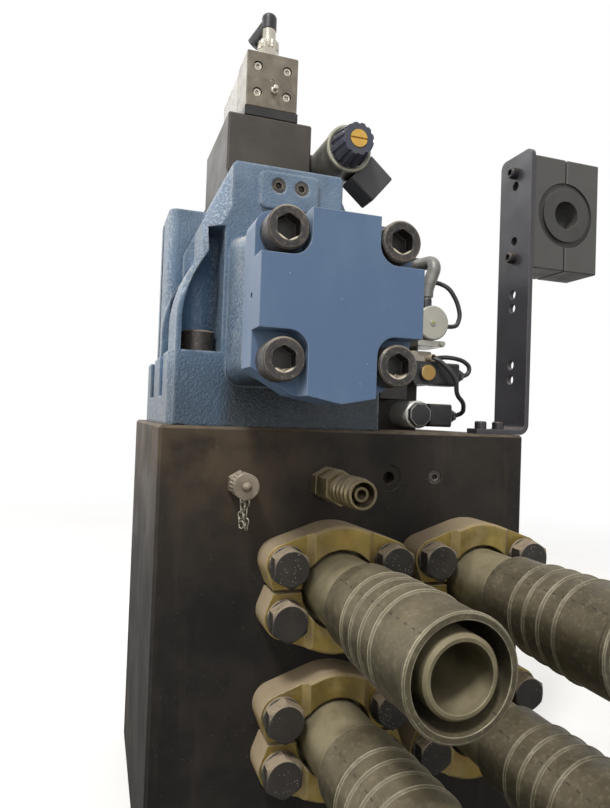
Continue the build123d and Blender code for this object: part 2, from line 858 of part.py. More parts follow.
def make_hose_stems():
    """Four hose stems: a flange head against the block and a bored stem through the shell."""
    stems = []
    tip = clamp_front - hose_end_length
    head_front = block_front - stem_head_thickness
    for x, z in flange_centres:
        profile = [
            (stem_bore_radius, block_front),
            (stem_head_radius, block_front),
            (stem_head_radius, head_front),
            (neck_radius, head_front),
            (neck_radius, clamp_front - neck_length + neck_edge),
            (stem_collar_radius, clamp_front - neck_length),
            (stem_collar_radius, clamp_front - neck_length - shell_solid_length),
            (stem_radius, clamp_front - neck_length - shell_solid_length),
            (stem_radius, tip + stem_tip_chamfer),
            (stem_radius - stem_tip_chamfer, tip),
            (stem_bore_radius, tip),
        ]
        stems.append(turned(profile, x, z))
    return Compound(children=stems)


def shell_profile():
    """Profile of the crimped shell, as radius and distance in front of the clamp."""
    outer = [
        (stem_collar_radius + shell_collar_wall, neck_length),
        (shell_start_radius, neck_length + shell_start_length),
    ]
    last_ridge = shell_first_ridge + (shell_ridges - 1) * shell_ridge_pitch
    for index in range(shell_ridges):
        place = shell_first_ridge + index * shell_ridge_pitch
        share = (place - neck_length) / (last_ridge - neck_length)
        radius = shell_start_radius + (shell_radius - shell_start_radius) * share
        outer.append((radius - shell_groove_depth, place - shell_ridge_back))
        outer.append((radius + shell_ridge_height, place))
        outer.append((radius, place + shell_ridge_front))
    lip_start = hose_end_length - shell_lip_length
    outer.append((shell_radius, lip_start))
    outer.append((shell_radius + shell_lip_height, lip_start + shell_lip_bevel))
    outer.append((shell_radius + shell_lip_height, hose_end_length - shell_lip_edge))
    outer.append((shell_radius, hose_end_length))
    inner_radius = shell_radius - shell_wall
    floor = neck_length + shell_solid_length
    inner = [
        (inner_radius, hose_end_length),
        (inner_radius, floor),
        (stem_collar_radius + screw_clearance, floor),
        (stem_collar_radius + screw_clearance, neck_length),
    ]
    return outer + inner


def make_hose_ferrule(x, z):
    """The crimped shell of one hose end, open to the front for the hose."""
    profile = [(radius, clamp_front - distance) for radius, distance in shell_profile()]
    return turned(profile, x, z)


def make_pilot_plates():
    """The seat plate under the pilot adapter and the spacer under the pilot valve."""
    seat = box(
        valve_x - pilot_base_half_width, valve_x + pilot_base_half_width,
        pilot_base_front, pilot_base_front + pilot_base_length,
        body_top, adapter_bottom,
    )
    spacer = box(
        valve_x - spacer_half_width, valve_x + spacer_half_width,
        adapter_front, adapter_front + spacer_length,
        adapter_top, pilot_bottom,
    )
    return Compound(children=[seat, spacer])


def make_pilot_adapter():
    """The dark adapter block under the pilot valve."""
    adapter = box(
        valve_x - adapter_half_width, valve_x + adapter_half_width,
        adapter_front, adapter_front + adapter_length,
        adapter_bottom, adapter_top,
    )
    return chamfer(adapter.edges(), adapter_edge)


def pilot_screw_places():
    """Places of the four sunk screws of the pilot's end cover."""
    half_x = pilot_screw_spacing_x / 2
    half_z = pilot_screw_spacing_z / 2
    return [(valve_x + sx * half_x, pilot_middle_z + sz * half_z) for sx in (-1, 1) for sz in (-1, 1)]


def make_pilot_end_cover():
    """The stainless end cover of the pilot valve, with four sunk screw holes."""
    cover = box(
        valve_x - pilot_half_width, valve_x + pilot_half_width,
        adapter_front, adapter_front + pilot_cover_length,
        pilot_bottom, pilot_top,
    )
    cover = chamfer(cover.edges(), pilot_cover_edge)
    for x, z in pilot_screw_places():
        end = (x, adapter_front + pilot_screw_sink_depth, z)
        cover = cover - rod(pilot_screw_sink_radius, (x, adapter_front - 1, z), end)
    end = (valve_x, adapter_front + nipple_hole_depth, pilot_middle_z)
    return cover - rod(nipple_hole_radius, (valve_x, adapter_front - 1, pilot_middle_z), end)


def make_pilot_valve():
    """The pilot valve's body behind its end cover."""
    start = adapter_front + pilot_cover_length
    body = box(
        valve_x - pilot_half_width, valve_x + pilot_half_width,
        start, start + pilot_length,
        pilot_bottom, pilot_top - pilot_cover_step,
    )
    return chamfer(body.edges().filter_by(Axis.Y), pilot_edge)


def make_pilot_rear_coil():
    """The solenoid at the rear end of the pilot valve."""
    start = adapter_front + pilot_cover_length + pilot_length
    z = pilot_middle_z
    end = start + pilot_coil_length
    coil = rod(pilot_coil_radius, (valve_x, start, z), (valve_x, end, z))
    coil = chamfer(coil.edges().filter_by(GeomType.CIRCLE), pilot_coil_edge)
    return coil + rod(pilot_coil_tip_radius, (valve_x, end, z), (valve_x, end + pilot_coil_tip_length, z))


def make_round_connector():
    """The threaded sensor socket on the pilot's end cover."""
    y = adapter_front + socket_setback
    top = pilot_top + socket_foot_height
    foot = hexagon_rod(socket_foot_flats, (valve_x, y, pilot_top), (valve_x, y, top))
    return foot + rod(socket_radius, (valve_x, y, top), (valve_x, y, top + socket_height))


def make_elbow_plug():
    """The moulded elbow plug on the sensor socket, with an open cable entry."""
    y = adapter_front + socket_setback
    bottom = pilot_top + socket_foot_height + socket_height
    top = bottom + elbow_height
    body = rod(elbow_radius, (valve_x, y, bottom), (valve_x, y, top))
    body = fillet(body.edges().filter_by(GeomType.CIRCLE).sort_by(Axis.Z)[-1], elbow_round)
    heading = radians(elbow_arm_heading)
    drop = radians(elbow_arm_drop)
    way = Vector(cos(heading) * cos(drop), -sin(heading) * cos(drop), -sin(drop))
    start = Vector(valve_x, y, top - elbow_radius)
    end = start + way * elbow_arm_length
    arm = rod(elbow_arm_radius, start, end)
    entry = rod(elbow_entry_radius, end - way * elbow_entry_depth, end + way)
    socket_room = rod(socket_radius, (valve_x, y, pilot_top), (valve_x, y, bottom))
    return body + arm - entry - socket_room


def make_side_valve():
    """The valve body on the right of the adapter, which carries the big solenoid."""
    left = valve_x + adapter_half_width
    body = box(
        left, left + side_valve_width,
        side_coil_back, side_coil_back + side_valve_length,
        side_z - side_valve_height / 2, side_z + side_valve_height / 2,
    )
    return chamfer(body.edges().filter_by(Axis.Y), side_valve_edge)


def make_side_coil():
    """The grey coil with a bright ring, between the valve body and the fluted nut."""
    ring_back = side_coil_front + side_ring_thickness
    coil = rod(side_coil_radius, (side_x, side_coil_back, side_z), (side_x, ring_back, side_z))
    ring_radius = side_coil_radius + side_ring_height
    return coil + rod(ring_radius, (side_x, ring_back, side_z), (side_x, side_coil_front, side_z))


def make_side_coil_nut():
    """The fluted, tapered nut that holds the coil, with a seat for the button."""
    profile = [
        (0, side_coil_front),
        (side_nut_base_radius, side_coil_front),
        (side_nut_base_radius, side_coil_front - side_nut_base_length),
        (side_nut_front_radius, side_nut_tip),
        (0, side_nut_tip),
    ]
    nut = turned(profile, side_x, side_z)
    near_radius = side_nut_base_radius + side_nut_flute_out
    far_radius = side_nut_front_radius + side_nut_flute_out
    for index in range(side_nut_flutes):
        angle = 2 * pi * index / side_nut_flutes
        near = (side_x + near_radius * cos(angle), side_coil_front + 1, side_z + near_radius * sin(angle))
        far = (side_x + far_radius * cos(angle), side_nut_tip - 1, side_z + far_radius * sin(angle))
        nut = nut - rod(side_nut_flute_radius, near, far)
    seat_end = (side_x, side_nut_tip + side_button_depth, side_z)
    return nut - rod(side_button_radius + screw_clearance, (side_x, side_nut_tip - 1, side_z), seat_end)


def make_side_button():
    """The yellow override button in the nut, with a screwdriver slot."""
    face = side_nut_tip - side_button_rise
    back = side_nut_tip + side_button_depth
    button = rod(side_button_radius, (side_x, back, side_z), (side_x, face, side_z))
    slot = box(
        side_x - side_button_radius, side_x + side_button_radius,
        face - 1, face + side_slot_depth,
        side_z - side_slot_width / 2, side_z + side_slot_width / 2,
    )
    return button - slot


def solenoid_plug(width, depth, reach):
    """A square cable plug standing on the XY plane."""
    body = Pos(0, 0, reach / 2) * Box(width, depth, reach)
    body = fillet(body.edges().filter_by(Axis.Z), plug_edge)
    return chamfer(body.edges().group_by(Axis.Z)[-1], plug_face_edge)


def make_side_plug():
    """The plug of the big solenoid, turned down to the right."""
    angle = radians(side_plug_angle)
    out = Vector(cos(angle), 0, sin(angle))
    middle_y = side_coil_front + side_plug_setback + side_plug_width / 2
    start = Vector(side_x, middle_y, side_z) + out * (side_coil_radius - side_plug_sink)
    plane = Plane(origin=start, x_dir=(0, 1, 0), z_dir=out)
    plug = plane * solenoid_plug(side_plug_width, side_plug_depth, side_plug_reach)
    coil_room = rod(
        side_coil_radius + seat_gap,
        (side_x, middle_y - side_plug_depth, side_z),
        (side_x, middle_y + side_plug_depth, side_z),
    )
    return plug - coil_room


def make_valve_column():
    """The steel column that carries the small solenoids and the pressure switch."""
    column = box(
        column_left, column_left + column_width,
        column_front, column_front + column_depth,
        block_top, block_top + column_height,
    )
    nose_left = column_left + column_nose_inset
    nose = box(
        nose_left, nose_left + column_nose_width,
        column_front - column_nose_reach, column_front + 1,
        block_top + column_nose_bottom, block_top + column_nose_bottom + column_nose_height,
    )
    return chamfer(column.edges().filter_by(Axis.Z), column_edge) + nose


def make_lower_coil():
    """The lower small solenoid, a round coil with an eight-sided knob, just above the block."""
    x, z = lower_coil_x, lower_coil_z
    coil = rod(lower_coil_radius, (x, column_front, z), (x, small_coil_front, z))
    coil = chamfer(coil.edges().filter_by(GeomType.CIRCLE).sort_by(Axis.Y)[0], lower_coil_edge)
    cap_front = small_coil_front - small_cap_length
    return coil + octagon_rod(lower_cap_flats, (x, small_coil_front, z), (x, cap_front, z))


def make_upper_coil():
    """The upper small solenoid, a square coil with a round cap."""
    x, z = upper_coil_x, upper_coil_z
    coil = box(
        x - upper_coil_width / 2, x + upper_coil_width / 2,
        small_coil_front, column_front,
        z - upper_coil_height / 2, z + upper_coil_height / 2,
    )
    coil = fillet(coil.edges().filter_by(Axis.Y), upper_coil_corner)
    cap_front = small_coil_front - small_cap_length
    return coil + rod(upper_cap_radius, (x, small_coil_front, z), (x, cap_front, z))


def small_plug(left, z):
    """A plug on the right side of a small solenoid."""
    plane = Plane(origin=(left, small_plug_y, z), x_dir=(0, 1, 0), z_dir=(1, 0, 0))
    return plane * solenoid_plug(small_plug_width, small_plug_height, small_plug_reach)


def make_terminal_block():
    """The pale terminal block on top of the upper solenoid."""
    block = box(
        terminal_x - terminal_width / 2, terminal_x + terminal_width / 2,
        terminal_front, terminal_front + terminal_depth,
        terminal_bottom, terminal_bottom + terminal_height,
    )
    return fillet(block.edges().filter_by(Axis.Y), terminal_corner)


def make_pressure_switch():
    """The round aluminium pressure switch with a flat side and a cover screw."""
    back = switch_front + switch_length
    housing = rod(switch_radius, (switch_x, switch_front, switch_z), (switch_x, back, switch_z))
    housing = chamfer(housing.edges().filter_by(GeomType.CIRCLE).sort_by(Axis.Y)[0], switch_edge)
    flat = box(
        switch_x - switch_radius - 1, switch_x - switch_flat,
        switch_front - 1, back + 1,
        switch_z - switch_radius, switch_z + switch_radius,
    )
    screw_x = switch_x - switch_screw_shift
    screw_tip = (screw_x, switch_front - switch_screw_height, switch_z)
    return housing - flat + rod(switch_screw_radius, (screw_x, switch_front, switch_z), screw_tip)


def make_switch_foot():
    """The angled foot under the pressure switch, screwed to the column."""
    top = switch_z - switch_radius
    left = switch_x - foot_plate_width / 2
    right = left + foot_plate_width
    shelf_bottom = top - foot_plate_thickness
    shelf = box(left, right, column_front - foot_plate_reach, column_front, shelf_bottom, top)
    flange_front = column_front - foot_plate_thickness
    flange = box(left, right, flange_front, column_front, shelf_bottom, top + foot_plate_height)
    screw_x = right - foot_plate_thickness / 2
    screw_z = (shelf_bottom + top) / 2
    shelf_front = column_front - foot_plate_reach
    screw_front = shelf_front - foot_screw_head
    screw = rod(foot_screw_radius, (screw_x, shelf_front, screw_z), (screw_x, screw_front, screw_z))
    return shelf + flange + screw


def bent_tube(points, radius):
    """A round tube or cable along straight runs, with tangent arcs as large as the runs allow."""
    places = [Vector(*point) for point in points]
    bends = []
    for before, here, after in zip(places[:-2], places[1:-1], places[2:]):
        run_in = here - before
        run_out = after - here
        turn = radians(run_in.get_angle(run_out))
        bends.append(bend_share * min(run_in.length, run_out.length) / tan(turn / 2))
    path = FilletPolyline(*places, radius=bends)
    section = Plane(origin=path @ 0, z_dir=path % 0) * Circle(radius)
    return sweep(section, path)


def make_conduit():
    """The bowed conduit from the column down to the pressure switch, with its sleeve."""
    x = switch_x - conduit_shift
    y = switch_middle_y
    sleeve_bottom = switch_z + sqrt(switch_radius**2 - conduit_shift**2)
    sleeve_top = sleeve_bottom + sleeve_length
    top = switch_z + conduit_rise
    points = [
        (x, column_front, top),
        (x, column_front - conduit_run, top),
        (x + conduit_bulge, y - conduit_lean, top),
        (x, y, sleeve_top + conduit_run),
        (x, y, sleeve_top),
    ]
    housing_back = (switch_x, column_front, switch_z)
    housing_room = rod(switch_radius, (switch_x, switch_front, switch_z), housing_back)
    sleeve = rod(sleeve_radius, (x, y, switch_z), (x, y, sleeve_top)) - housing_room
    return bent_tube(points, conduit_radius) + sleeve


def make_leads():
    """Three leads: column to switch, terminal block to upper plug, terminal block to lower plug."""
    upper_end = upper_plug_left + small_plug_reach + lead_gap
    lower_end = lower_plug_left + small_plug_reach + lead_gap
    switch_side = switch_x + switch_radius + lead_gap
    terminal_right = terminal_x + terminal_width / 2 + lead_gap
    terminal_y = terminal_front + terminal_depth / 2
    terminal_z = terminal_bottom + terminal_height / 2
    terminal_face = terminal_front - lead_gap
    column_right = column_left + column_width
    first = [
        (column_right - 5, column_front - lead_gap, switch_z + 50),
        (column_right - 5, column_front - 8, switch_z + 50),
        (column_right + 8, column_front - 19, switch_z + 53),
        (column_right + 22, column_front - 27, switch_z + 46),
        (column_right + 33, switch_middle_y + 1, switch_z + 30),
        (column_right + 37, switch_middle_y, switch_z + 14),
        (column_right + 33, switch_middle_y, switch_z + 2),
        (column_right + 26, switch_middle_y, switch_z),
        (switch_side, switch_middle_y, switch_z),
    ]
    second = [
        (terminal_right, terminal_y, terminal_z),
        (terminal_right + 10, terminal_y, terminal_z),
        (terminal_right + 22, terminal_y - 3, terminal_z + 2),
        (upper_end - 1, small_plug_y, terminal_z + 1.5),
        (upper_end + 12, small_plug_y, terminal_z - 1),
        (upper_end + 20.5, small_plug_y, upper_coil_z + 12),
        (upper_end + 20, small_plug_y, upper_coil_z + 4),
        (upper_end + 13, small_plug_y, upper_coil_z),
        (upper_end, small_plug_y, upper_coil_z),
    ]
    third = [
        (terminal_x + 9, terminal_face, terminal_z - 2),
        (terminal_x + 9, terminal_face - 8, terminal_z - 2),
        (terminal_x + 15, terminal_face - 15, terminal_z - 5),
        (terminal_x + 25, terminal_face - 19, terminal_z - 14),
        (terminal_x + 35, terminal_face - 19, terminal_z - 27),
        (lower_end - 1, terminal_face - 15, terminal_z - 42),
        (lower_end + 12, small_plug_y - 17, lower_coil_z + 15),
        (lower_end + 17, small_plug_y - 8, lower_coil_z + 4),
        (lower_end + 10, small_plug_y, lower_coil_z),
        (lower_end, small_plug_y, lower_coil_z),
    ]
    return Compound(children=[bent_tube(points, lead_radius) for points in (first, second, third)])


def make_bracket():
    """The L bracket, bent from one strip, with a row of spare holes."""
    top = block_top + strip_top_height
    foot_left = strip_left - bracket_foot_length
    foot_top = block_top + strip_thickness
    points = [
        (foot_left, block_top), (strip_right, block_top), (strip_right, top),
        (strip_left, top), (strip_left, foot_top), (foot_left, foot_top),
    ]
    outline = make_face(Polyline(*points, close=True))
    outer_bend = outline.vertices().sort_by_distance((strip_right, block_top, 0))[0]
    outline = fillet(outer_bend, strip_bend_radius + strip_thickness)
    inner_bend = outline.vertices().sort_by_distance((strip_left, foot_top, 0))[0]
    outline = fillet(inner_bend, strip_bend_radius)
    bracket = toward_viewer(outline, strip_front + strip_width, strip_front)
    bracket = fillet(bracket.edges().filter_by(Axis.X).group_by(Axis.Z)[-1], strip_corner)
    strip_back = strip_front + strip_width
    corner = Polyline(
        (foot_left, strip_back - bracket_corner_across),
        (foot_left, strip_back),
        (foot_left + bracket_corner_along, strip_back),
        close=True,
    )
    cut = Plane(origin=(0, 0, block_top)) * make_face(corner)
    bracket = bracket - extrude(cut, strip_thickness, dir=(0, 0, 1))
    holes = [(strip_hole_radius, block_top + height) for height in strip_hole_heights]
    holes += [(bracket_screw_thread / 2 + screw_clearance, z) for z in clamp_bolt_zs]
    for radius, z in holes:
        hole_end = (strip_right + 1, strip_middle_y, z)
        bracket = bracket - rod(radius, (strip_left - 1, strip_middle_y, z), hole_end)
    for x in bracket_bolt_xs:
        radius = bracket_screw_thread / 2 + screw_clearance
        bracket = bracket - rod(radius, (x, bracket_bolt_y, block_top - 1), (x, bracket_bolt_y, foot_top + 1))
    return bracket


def make_bracket_screws():
    """Foot screws and the two long screws of the hose clamp."""
    screws = []
    for x in bracket_bolt_xs:
        seat = (x, bracket_bolt_y, block_top + strip_thickness)
        screws.append(socket_screw(bracket_screw_thread, bracket_screw_length, seat, (0, 0, 1)))
    for z in clamp_bolt_zs:
        seat = (strip_left, strip_middle_y, z)
        screws.append(socket_screw(bracket_screw_thread, clamp_bolt_length, seat, (-1, 0, 0)))
    return Compound(children=screws)


def make_hose_clamp():
    """The clamp block in two halves, parted upright through the hose axis."""
    front = strip_middle_y - hose_clamp_depth / 2
    back = strip_middle_y + hose_clamp_depth / 2
    bottom = hose_clamp_z - hose_clamp_height / 2
    top = hose_clamp_z + hose_clamp_height / 2
    seat_start = (hose_clamp_x, front - 1, hose_clamp_z)
    seat = rod(grommet_radius, seat_start, (hose_clamp_x, back + 1, hose_clamp_z))
    bolt_end = strip_left + clamp_bolt_length + screw_tip_room
    halves = []
    for x0, x1 in (
        (strip_right, hose_clamp_x - hose_clamp_split / 2),
        (hose_clamp_x + hose_clamp_split / 2, strip_right + hose_clamp_width),
    ):
        half = box(x0, x1, front, back, bottom, top)
        half = chamfer(half.edges(), hose_clamp_edge) - seat
        for z in clamp_bolt_zs:
            radius = bracket_screw_thread / 2 + screw_clearance
            half = half - rod(radius, (strip_left, strip_middle_y, z), (bolt_end, strip_middle_y, z))
        halves.append(half)
    return Compound(children=halves)


def make_clamp_grommet():
    """The rubber insert of the hose clamp, bored for the hose, with a rim at both ends."""
    half = hose_clamp_depth / 2
    outer = grommet_radius - seat_gap
    rim = grommet_bore_radius + grommet_rim_wall
    profile = [
        (grommet_bore_radius, -half - grommet_rim),
        (rim, -half - grommet_rim),
        (rim, -half + grommet_step),
        (outer, -half + grommet_step),
        (outer, half - grommet_step),
        (rim, half - grommet_step),
        (rim, half + grommet_rim),
        (grommet_bore_radius, half + grommet_rim),
    ]
    placed = [(radius, strip_middle_y + y) for radius, y in profile]
    return turned(placed, hose_clamp_x, hose_clamp_z)


def make_test_point():
    """The pressure test point: hexagon base and threaded stem."""
    x, z = test_point_x, front_port_z
    base_end = block_front - test_hex_length
    base = hexagon_rod(test_hex_flats, (x, block_front, z), (x, base_end, z))
    return base + rod(test_stem_radius, (x, base_end, z), (x, base_end - test_stem_length, z))


def make_test_cap():
    """The knurled cap screwed on the test point, with a ball tip that holds its chain."""
    x, z = test_point_x, front_port_z
    back = block_front - test_hex_length - seat_gap
    front = back - test_cap_length
    cap = rod(test_cap_radius, (x, back, z), (x, front, z))
    groove_circle = test_cap_radius + test_groove_out
    for index in range(test_cap_grooves):
        angle = 2 * pi * index / test_cap_grooves
        groove_x = x + groove_circle * cos(angle)
        groove_z = z + groove_circle * sin(angle)
        groove_end = (groove_x, front + test_groove_margin, groove_z)
        cap = cap - rod(test_groove_radius, (groove_x, back + 1, groove_z), groove_end)
    ball = Pos(x, front - test_ball_out, z) * Sphere(test_ball_radius)
    stem_room = rod(test_stem_radius + seat_gap, (x, back + 1, z), (x, back - test_stem_length - seat_gap, z))
    return cap + ball - stem_room


def fitting_shell_profile(back, front):
    """Profile of the small ringed shell, open at the front with a bored stem inside."""
    rim = fitting_shell_radius - fitting_ring_depth
    profile = [(0, back), (fitting_shell_radius - fitting_shell_back_wall, back)]
    pitch = (back - front - 2 * fitting_ring_margin) / fitting_shell_rings
    for index in range(fitting_shell_rings):
        start = back - fitting_ring_margin - index * pitch
        profile.append((rim, start))
        profile.append((fitting_shell_radius, start - pitch / 3))
        profile.append((fitting_shell_radius, start - pitch * 3 / 4))
    socket_floor = front + fitting_socket_depth
    profile.append((rim, front + fitting_ring_margin))
    profile.append((rim, front))
    profile.append((fitting_socket_radius, front))
    profile.append((fitting_socket_radius, socket_floor))
    profile.append((fitting_stem_radius, socket_floor))
    profile.append((fitting_stem_radius, front + fitting_stem_setback))
    profile.append((fitting_bore_radius, front + fitting_stem_setback))
    profile.append((fitting_bore_radius, socket_floor))
    profile.append((0, socket_floor))
    return profile


def make_small_hose_fitting():
    """The small hose fitting: hexagon, neck, swivel nut and a ringed shell with an open socket."""
    x, z = fitting_x, front_port_z
    hex_end = block_front - fitting_hex_length
    neck_end = hex_end - fitting_neck_length
    nut_end = neck_end - fitting_nut_length
    hexagon = hexagon_rod(fitting_hex_flats, (x, block_front, z), (x, hex_end, z))
    middle = rod(fitting_neck_radius, (x, hex_end, z), (x, neck_end, z))
    nut = hexagon_rod(fitting_nut_flats, (x, neck_end, z), (x, nut_end, z))
    shell = turned(fitting_shell_profile(nut_end, nut_end - fitting_shell_length), x, z)
    return hexagon + middle + nut + shell


nodes = {
    "manifold_block": make_manifold_block,
    "valve_body": make_valve_body,
    "front_cover": lambda: end_cover(-1),
    "rear_cover": lambda: end_cover(1),
    "socket_screws": make_socket_screws,
    "socket_plugs": make_socket_plugs,
    "pilot_plates": make_pilot_plates,
    "pilot_adapter": make_pilot_adapter,
    "pilot_valve": make_pilot_valve,
    "pilot_end_cover": make_pilot_end_cover,
    "pilot_rear_coil": make_pilot_rear_coil,
    "round_connector": make_round_connector,
    "elbow_plug": make_elbow_plug,
    "side_valve": make_side_valve,
    "side_coil": make_side_coil,
    "side_coil_nut": make_side_coil_nut,
    "side_button": make_side_button,
    "side_plug": make_side_plug,
    "valve_column": make_valve_column,
    "lower_coil": make_lower_coil,
    "lower_plug": lambda: small_plug(lower_plug_left, lower_coil_z),
    "upper_coil": make_upper_coil,
    "upper_plug": lambda: small_plug(upper_plug_left, upper_coil_z),
    "terminal_block": make_terminal_block,
    "pressure_switch": make_pressure_switch,
    "switch_foot": make_switch_foot,
    "conduit": make_conduit,
    "leads": make_leads,
    "flange_bolts": make_flange_bolts,
    "hose_stems": make_hose_stems,
    "bracket": make_bracket,
    "bracket_screws": make_bracket_screws,
    "hose_clamp": make_hose_clamp,
    "clamp_grommet": make_clamp_grommet,
    "test_point": make_test_point,
    "test_cap": make_test_cap,
    "small_hose_fitting": make_small_hose_fitting,
}

os.makedirs("parts", exist_ok=True)
for name, make in nodes.items():
    export_step(make(), f"parts/{name}.step")
for number, (flange_x, flange_z) in enumerate(flange_centres, start=1):
    export_step(make_flange_clamp(flange_x, flange_z), f"parts/flange_clamp_{number}.step")
    export_step(make_hose_ferrule(flange_x, flange_z), f"parts/hose_ferrule_{number}.step")
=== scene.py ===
"""Looks of the hydraulic valve and manifold unit: materials, small pieces, light and camera."""

from math import cos, pi, radians, sin

import bmesh
import bpy
from mathutils import Matrix, Vector


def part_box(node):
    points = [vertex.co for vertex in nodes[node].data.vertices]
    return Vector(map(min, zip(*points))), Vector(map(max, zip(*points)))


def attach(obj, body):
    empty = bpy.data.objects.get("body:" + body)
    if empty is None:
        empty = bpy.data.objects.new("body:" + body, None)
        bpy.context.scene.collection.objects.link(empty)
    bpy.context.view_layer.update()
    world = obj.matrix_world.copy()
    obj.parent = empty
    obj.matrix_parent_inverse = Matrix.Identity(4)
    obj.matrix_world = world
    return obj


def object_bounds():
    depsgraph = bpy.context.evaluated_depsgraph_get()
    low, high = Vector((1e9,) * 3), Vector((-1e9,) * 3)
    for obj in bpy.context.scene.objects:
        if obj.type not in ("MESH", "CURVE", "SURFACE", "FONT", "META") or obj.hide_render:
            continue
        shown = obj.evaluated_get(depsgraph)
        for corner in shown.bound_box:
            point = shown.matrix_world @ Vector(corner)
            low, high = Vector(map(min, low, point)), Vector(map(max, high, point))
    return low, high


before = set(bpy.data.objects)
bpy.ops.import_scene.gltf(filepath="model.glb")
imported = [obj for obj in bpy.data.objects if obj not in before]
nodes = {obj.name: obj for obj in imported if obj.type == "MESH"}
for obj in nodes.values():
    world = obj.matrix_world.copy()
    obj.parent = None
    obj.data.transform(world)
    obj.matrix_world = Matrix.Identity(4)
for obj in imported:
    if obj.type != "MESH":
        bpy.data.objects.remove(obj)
cad_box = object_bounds()

# Camera: the photograph's place, heading and tilt, in metres and degrees
camera_place = (-0.2333, -0.6910, 0.4101)
camera_yaw = 18.362
camera_pitch = 1.237
camera_roll = 2.047
camera_focal_px = 631.3
camera_clip_start = 0.02
image_height_px = 808
sensor_mm = 36.0

# Lamps: place and size in metres, and power
lamp_target = (0.0, -0.1, 0.5)
lamps = {
    "key": ((-1.3, -1.7, 3.1), 0.7, 90.0),
    "front": ((-0.7, -3.0, 0.9), 1.4, 13.0),
    "side": ((-2.6, 0.1, 0.9), 1.6, 19.0),
    "rim": ((-1.2, 1.6, 1.9), 1.2, 12.0),
}

# Sky: its strength below and above, and the upward share of a direction where each is reached
sky_below = 0.12
sky_above = 0.75
sky_dim_rise = -0.3
sky_full_rise = 0.5

# Floor, in metres
floor_half = 6.0
floor_fade_start = 0.7
floor_fade_end = 2.6

# Colours, as they would be read off a plain lit surface
paint_deep = "#3B5066"
paint_blue = "#4B637B"
paint_film = "#8495A6"
# Pale paint of worn edges, also used as painted light on faces turned left and up
paint_worn_and_lit = "#A8B1B9"
# Painted light in the recessed bay of the casting
paint_recess_light = "#5E7EA2"
# Painted shadow on the casting, low down and under the cover
paint_shadow = "#1C262D"
paint_fleck = "#3C342B"
cover_blue = "#496180"
cover_grey = "#576778"
cover_rub = "#62788F"
cover_scuff = "#8391A0"
cover_pale_fleck = "#98A4B2"
cover_dark_fleck = "#2E3E52"
dust_tan = "#85765F"
dust_pale = "#A89C88"
dust_white = "#CDC7BA"
dust_clamp = "#736A5F"
block_black = "#161513"
block_brown = "#272320"
block_haze = "#5A4C3B"
block_run = "#4A3F33"
block_edge = "#6B5F52"
block_dust = "#6E6252"
# Painted shade inside the cover screws' sockets
socket_shade = "#0C0B0B"
bolt_dark = "#201E1C"
bolt_brown = "#2B2825"
bolt_edge = "#77736E"
bolt_dust = "#8D7F6B"
zinc_yellow = "#A08A4B"
zinc_green = "#7A6B3C"
zinc_rust = "#8A5F35"
zinc_dust = "#948369"
zinc_bright = "#D2CCB2"
shell_olive = "#625B45"
shell_dark = "#484334"
shell_band = "#5B5748"
shell_stain = "#4F4B40"
shell_dust = "#70664F"
# Grime of the shells, which on the shells on the right also stands for painted shade
shell_grime_and_shade = "#443D31"
shell_scale = "#8A8067"
# Painted highlight on the crests of the shells
shell_crest_highlight = "#D6CFB4"
shell_crimp = "#34302A"
stainless_beige = "#675F54"
nickel_pale = "#B9B3A6"
plastic_black = "#222225"
plastic_blotch = "#4A4744"
plastic_edge = "#807C75"
conduit_pale = "#8A8882"
floor_grey = "#E9E7E3"
floor_pale = "#F1EFEB"
floor_unseen = "#8F8D89"

# Heights, widths and depths in metres where the blue paint changes, and where its painted shadow and painted
# light lie, from where to where
film_heights = (0.55, 0.66)
shadow_heights = (0.475, 0.430)
shadow_under_cover = (-0.136, -0.118)
cover_film_heights = (0.50, 0.66)
lit_recess_front = (-0.143, -0.125)
lit_recess_back = (-0.03, -0.06)

# Haze of dust on the block, in metres, from where to where
haze_heights = (0.24, 0.40)
haze_widths = (0.05, -0.16)

# Sockets of the cover screws in X and Z, in metres: middle of the four, half their spacing, the reach of
# their painted shade, and their dirt
cover_screw_middle = (-0.0745, 0.4925)
cover_screw_half_spacing = (0.04175, 0.0440)
socket_radii = (0.0094, 0.0089)
dirt_heights = (-0.0020, -0.0034)
dirt_unevenness = 0.006

# Grime of the shells on the left, grime with painted shade on the darker shells on the right, and the X
# between them in metres
grime_left = 0.25
grime_and_shade_right = 0.5
grime_and_shade_border = 0.05

# Patterns: crimp lines round a shell, and radians per metre of its dashes and of the conduit's rings
crimp_lines = 6.0
crimp_dashes = 640.0
conduit_rings = 1900.0


def colour(text):
    """Linear colour with alpha from a hexadecimal one."""
    values = [int(text[i:i + 2], 16) / 255 for i in (1, 3, 5)]
    linear = [v / 12.92 if v <= 0.04045 else ((v + 0.055) / 1.055) ** 2.4 for v in values]
    return (*linear, 1.0)


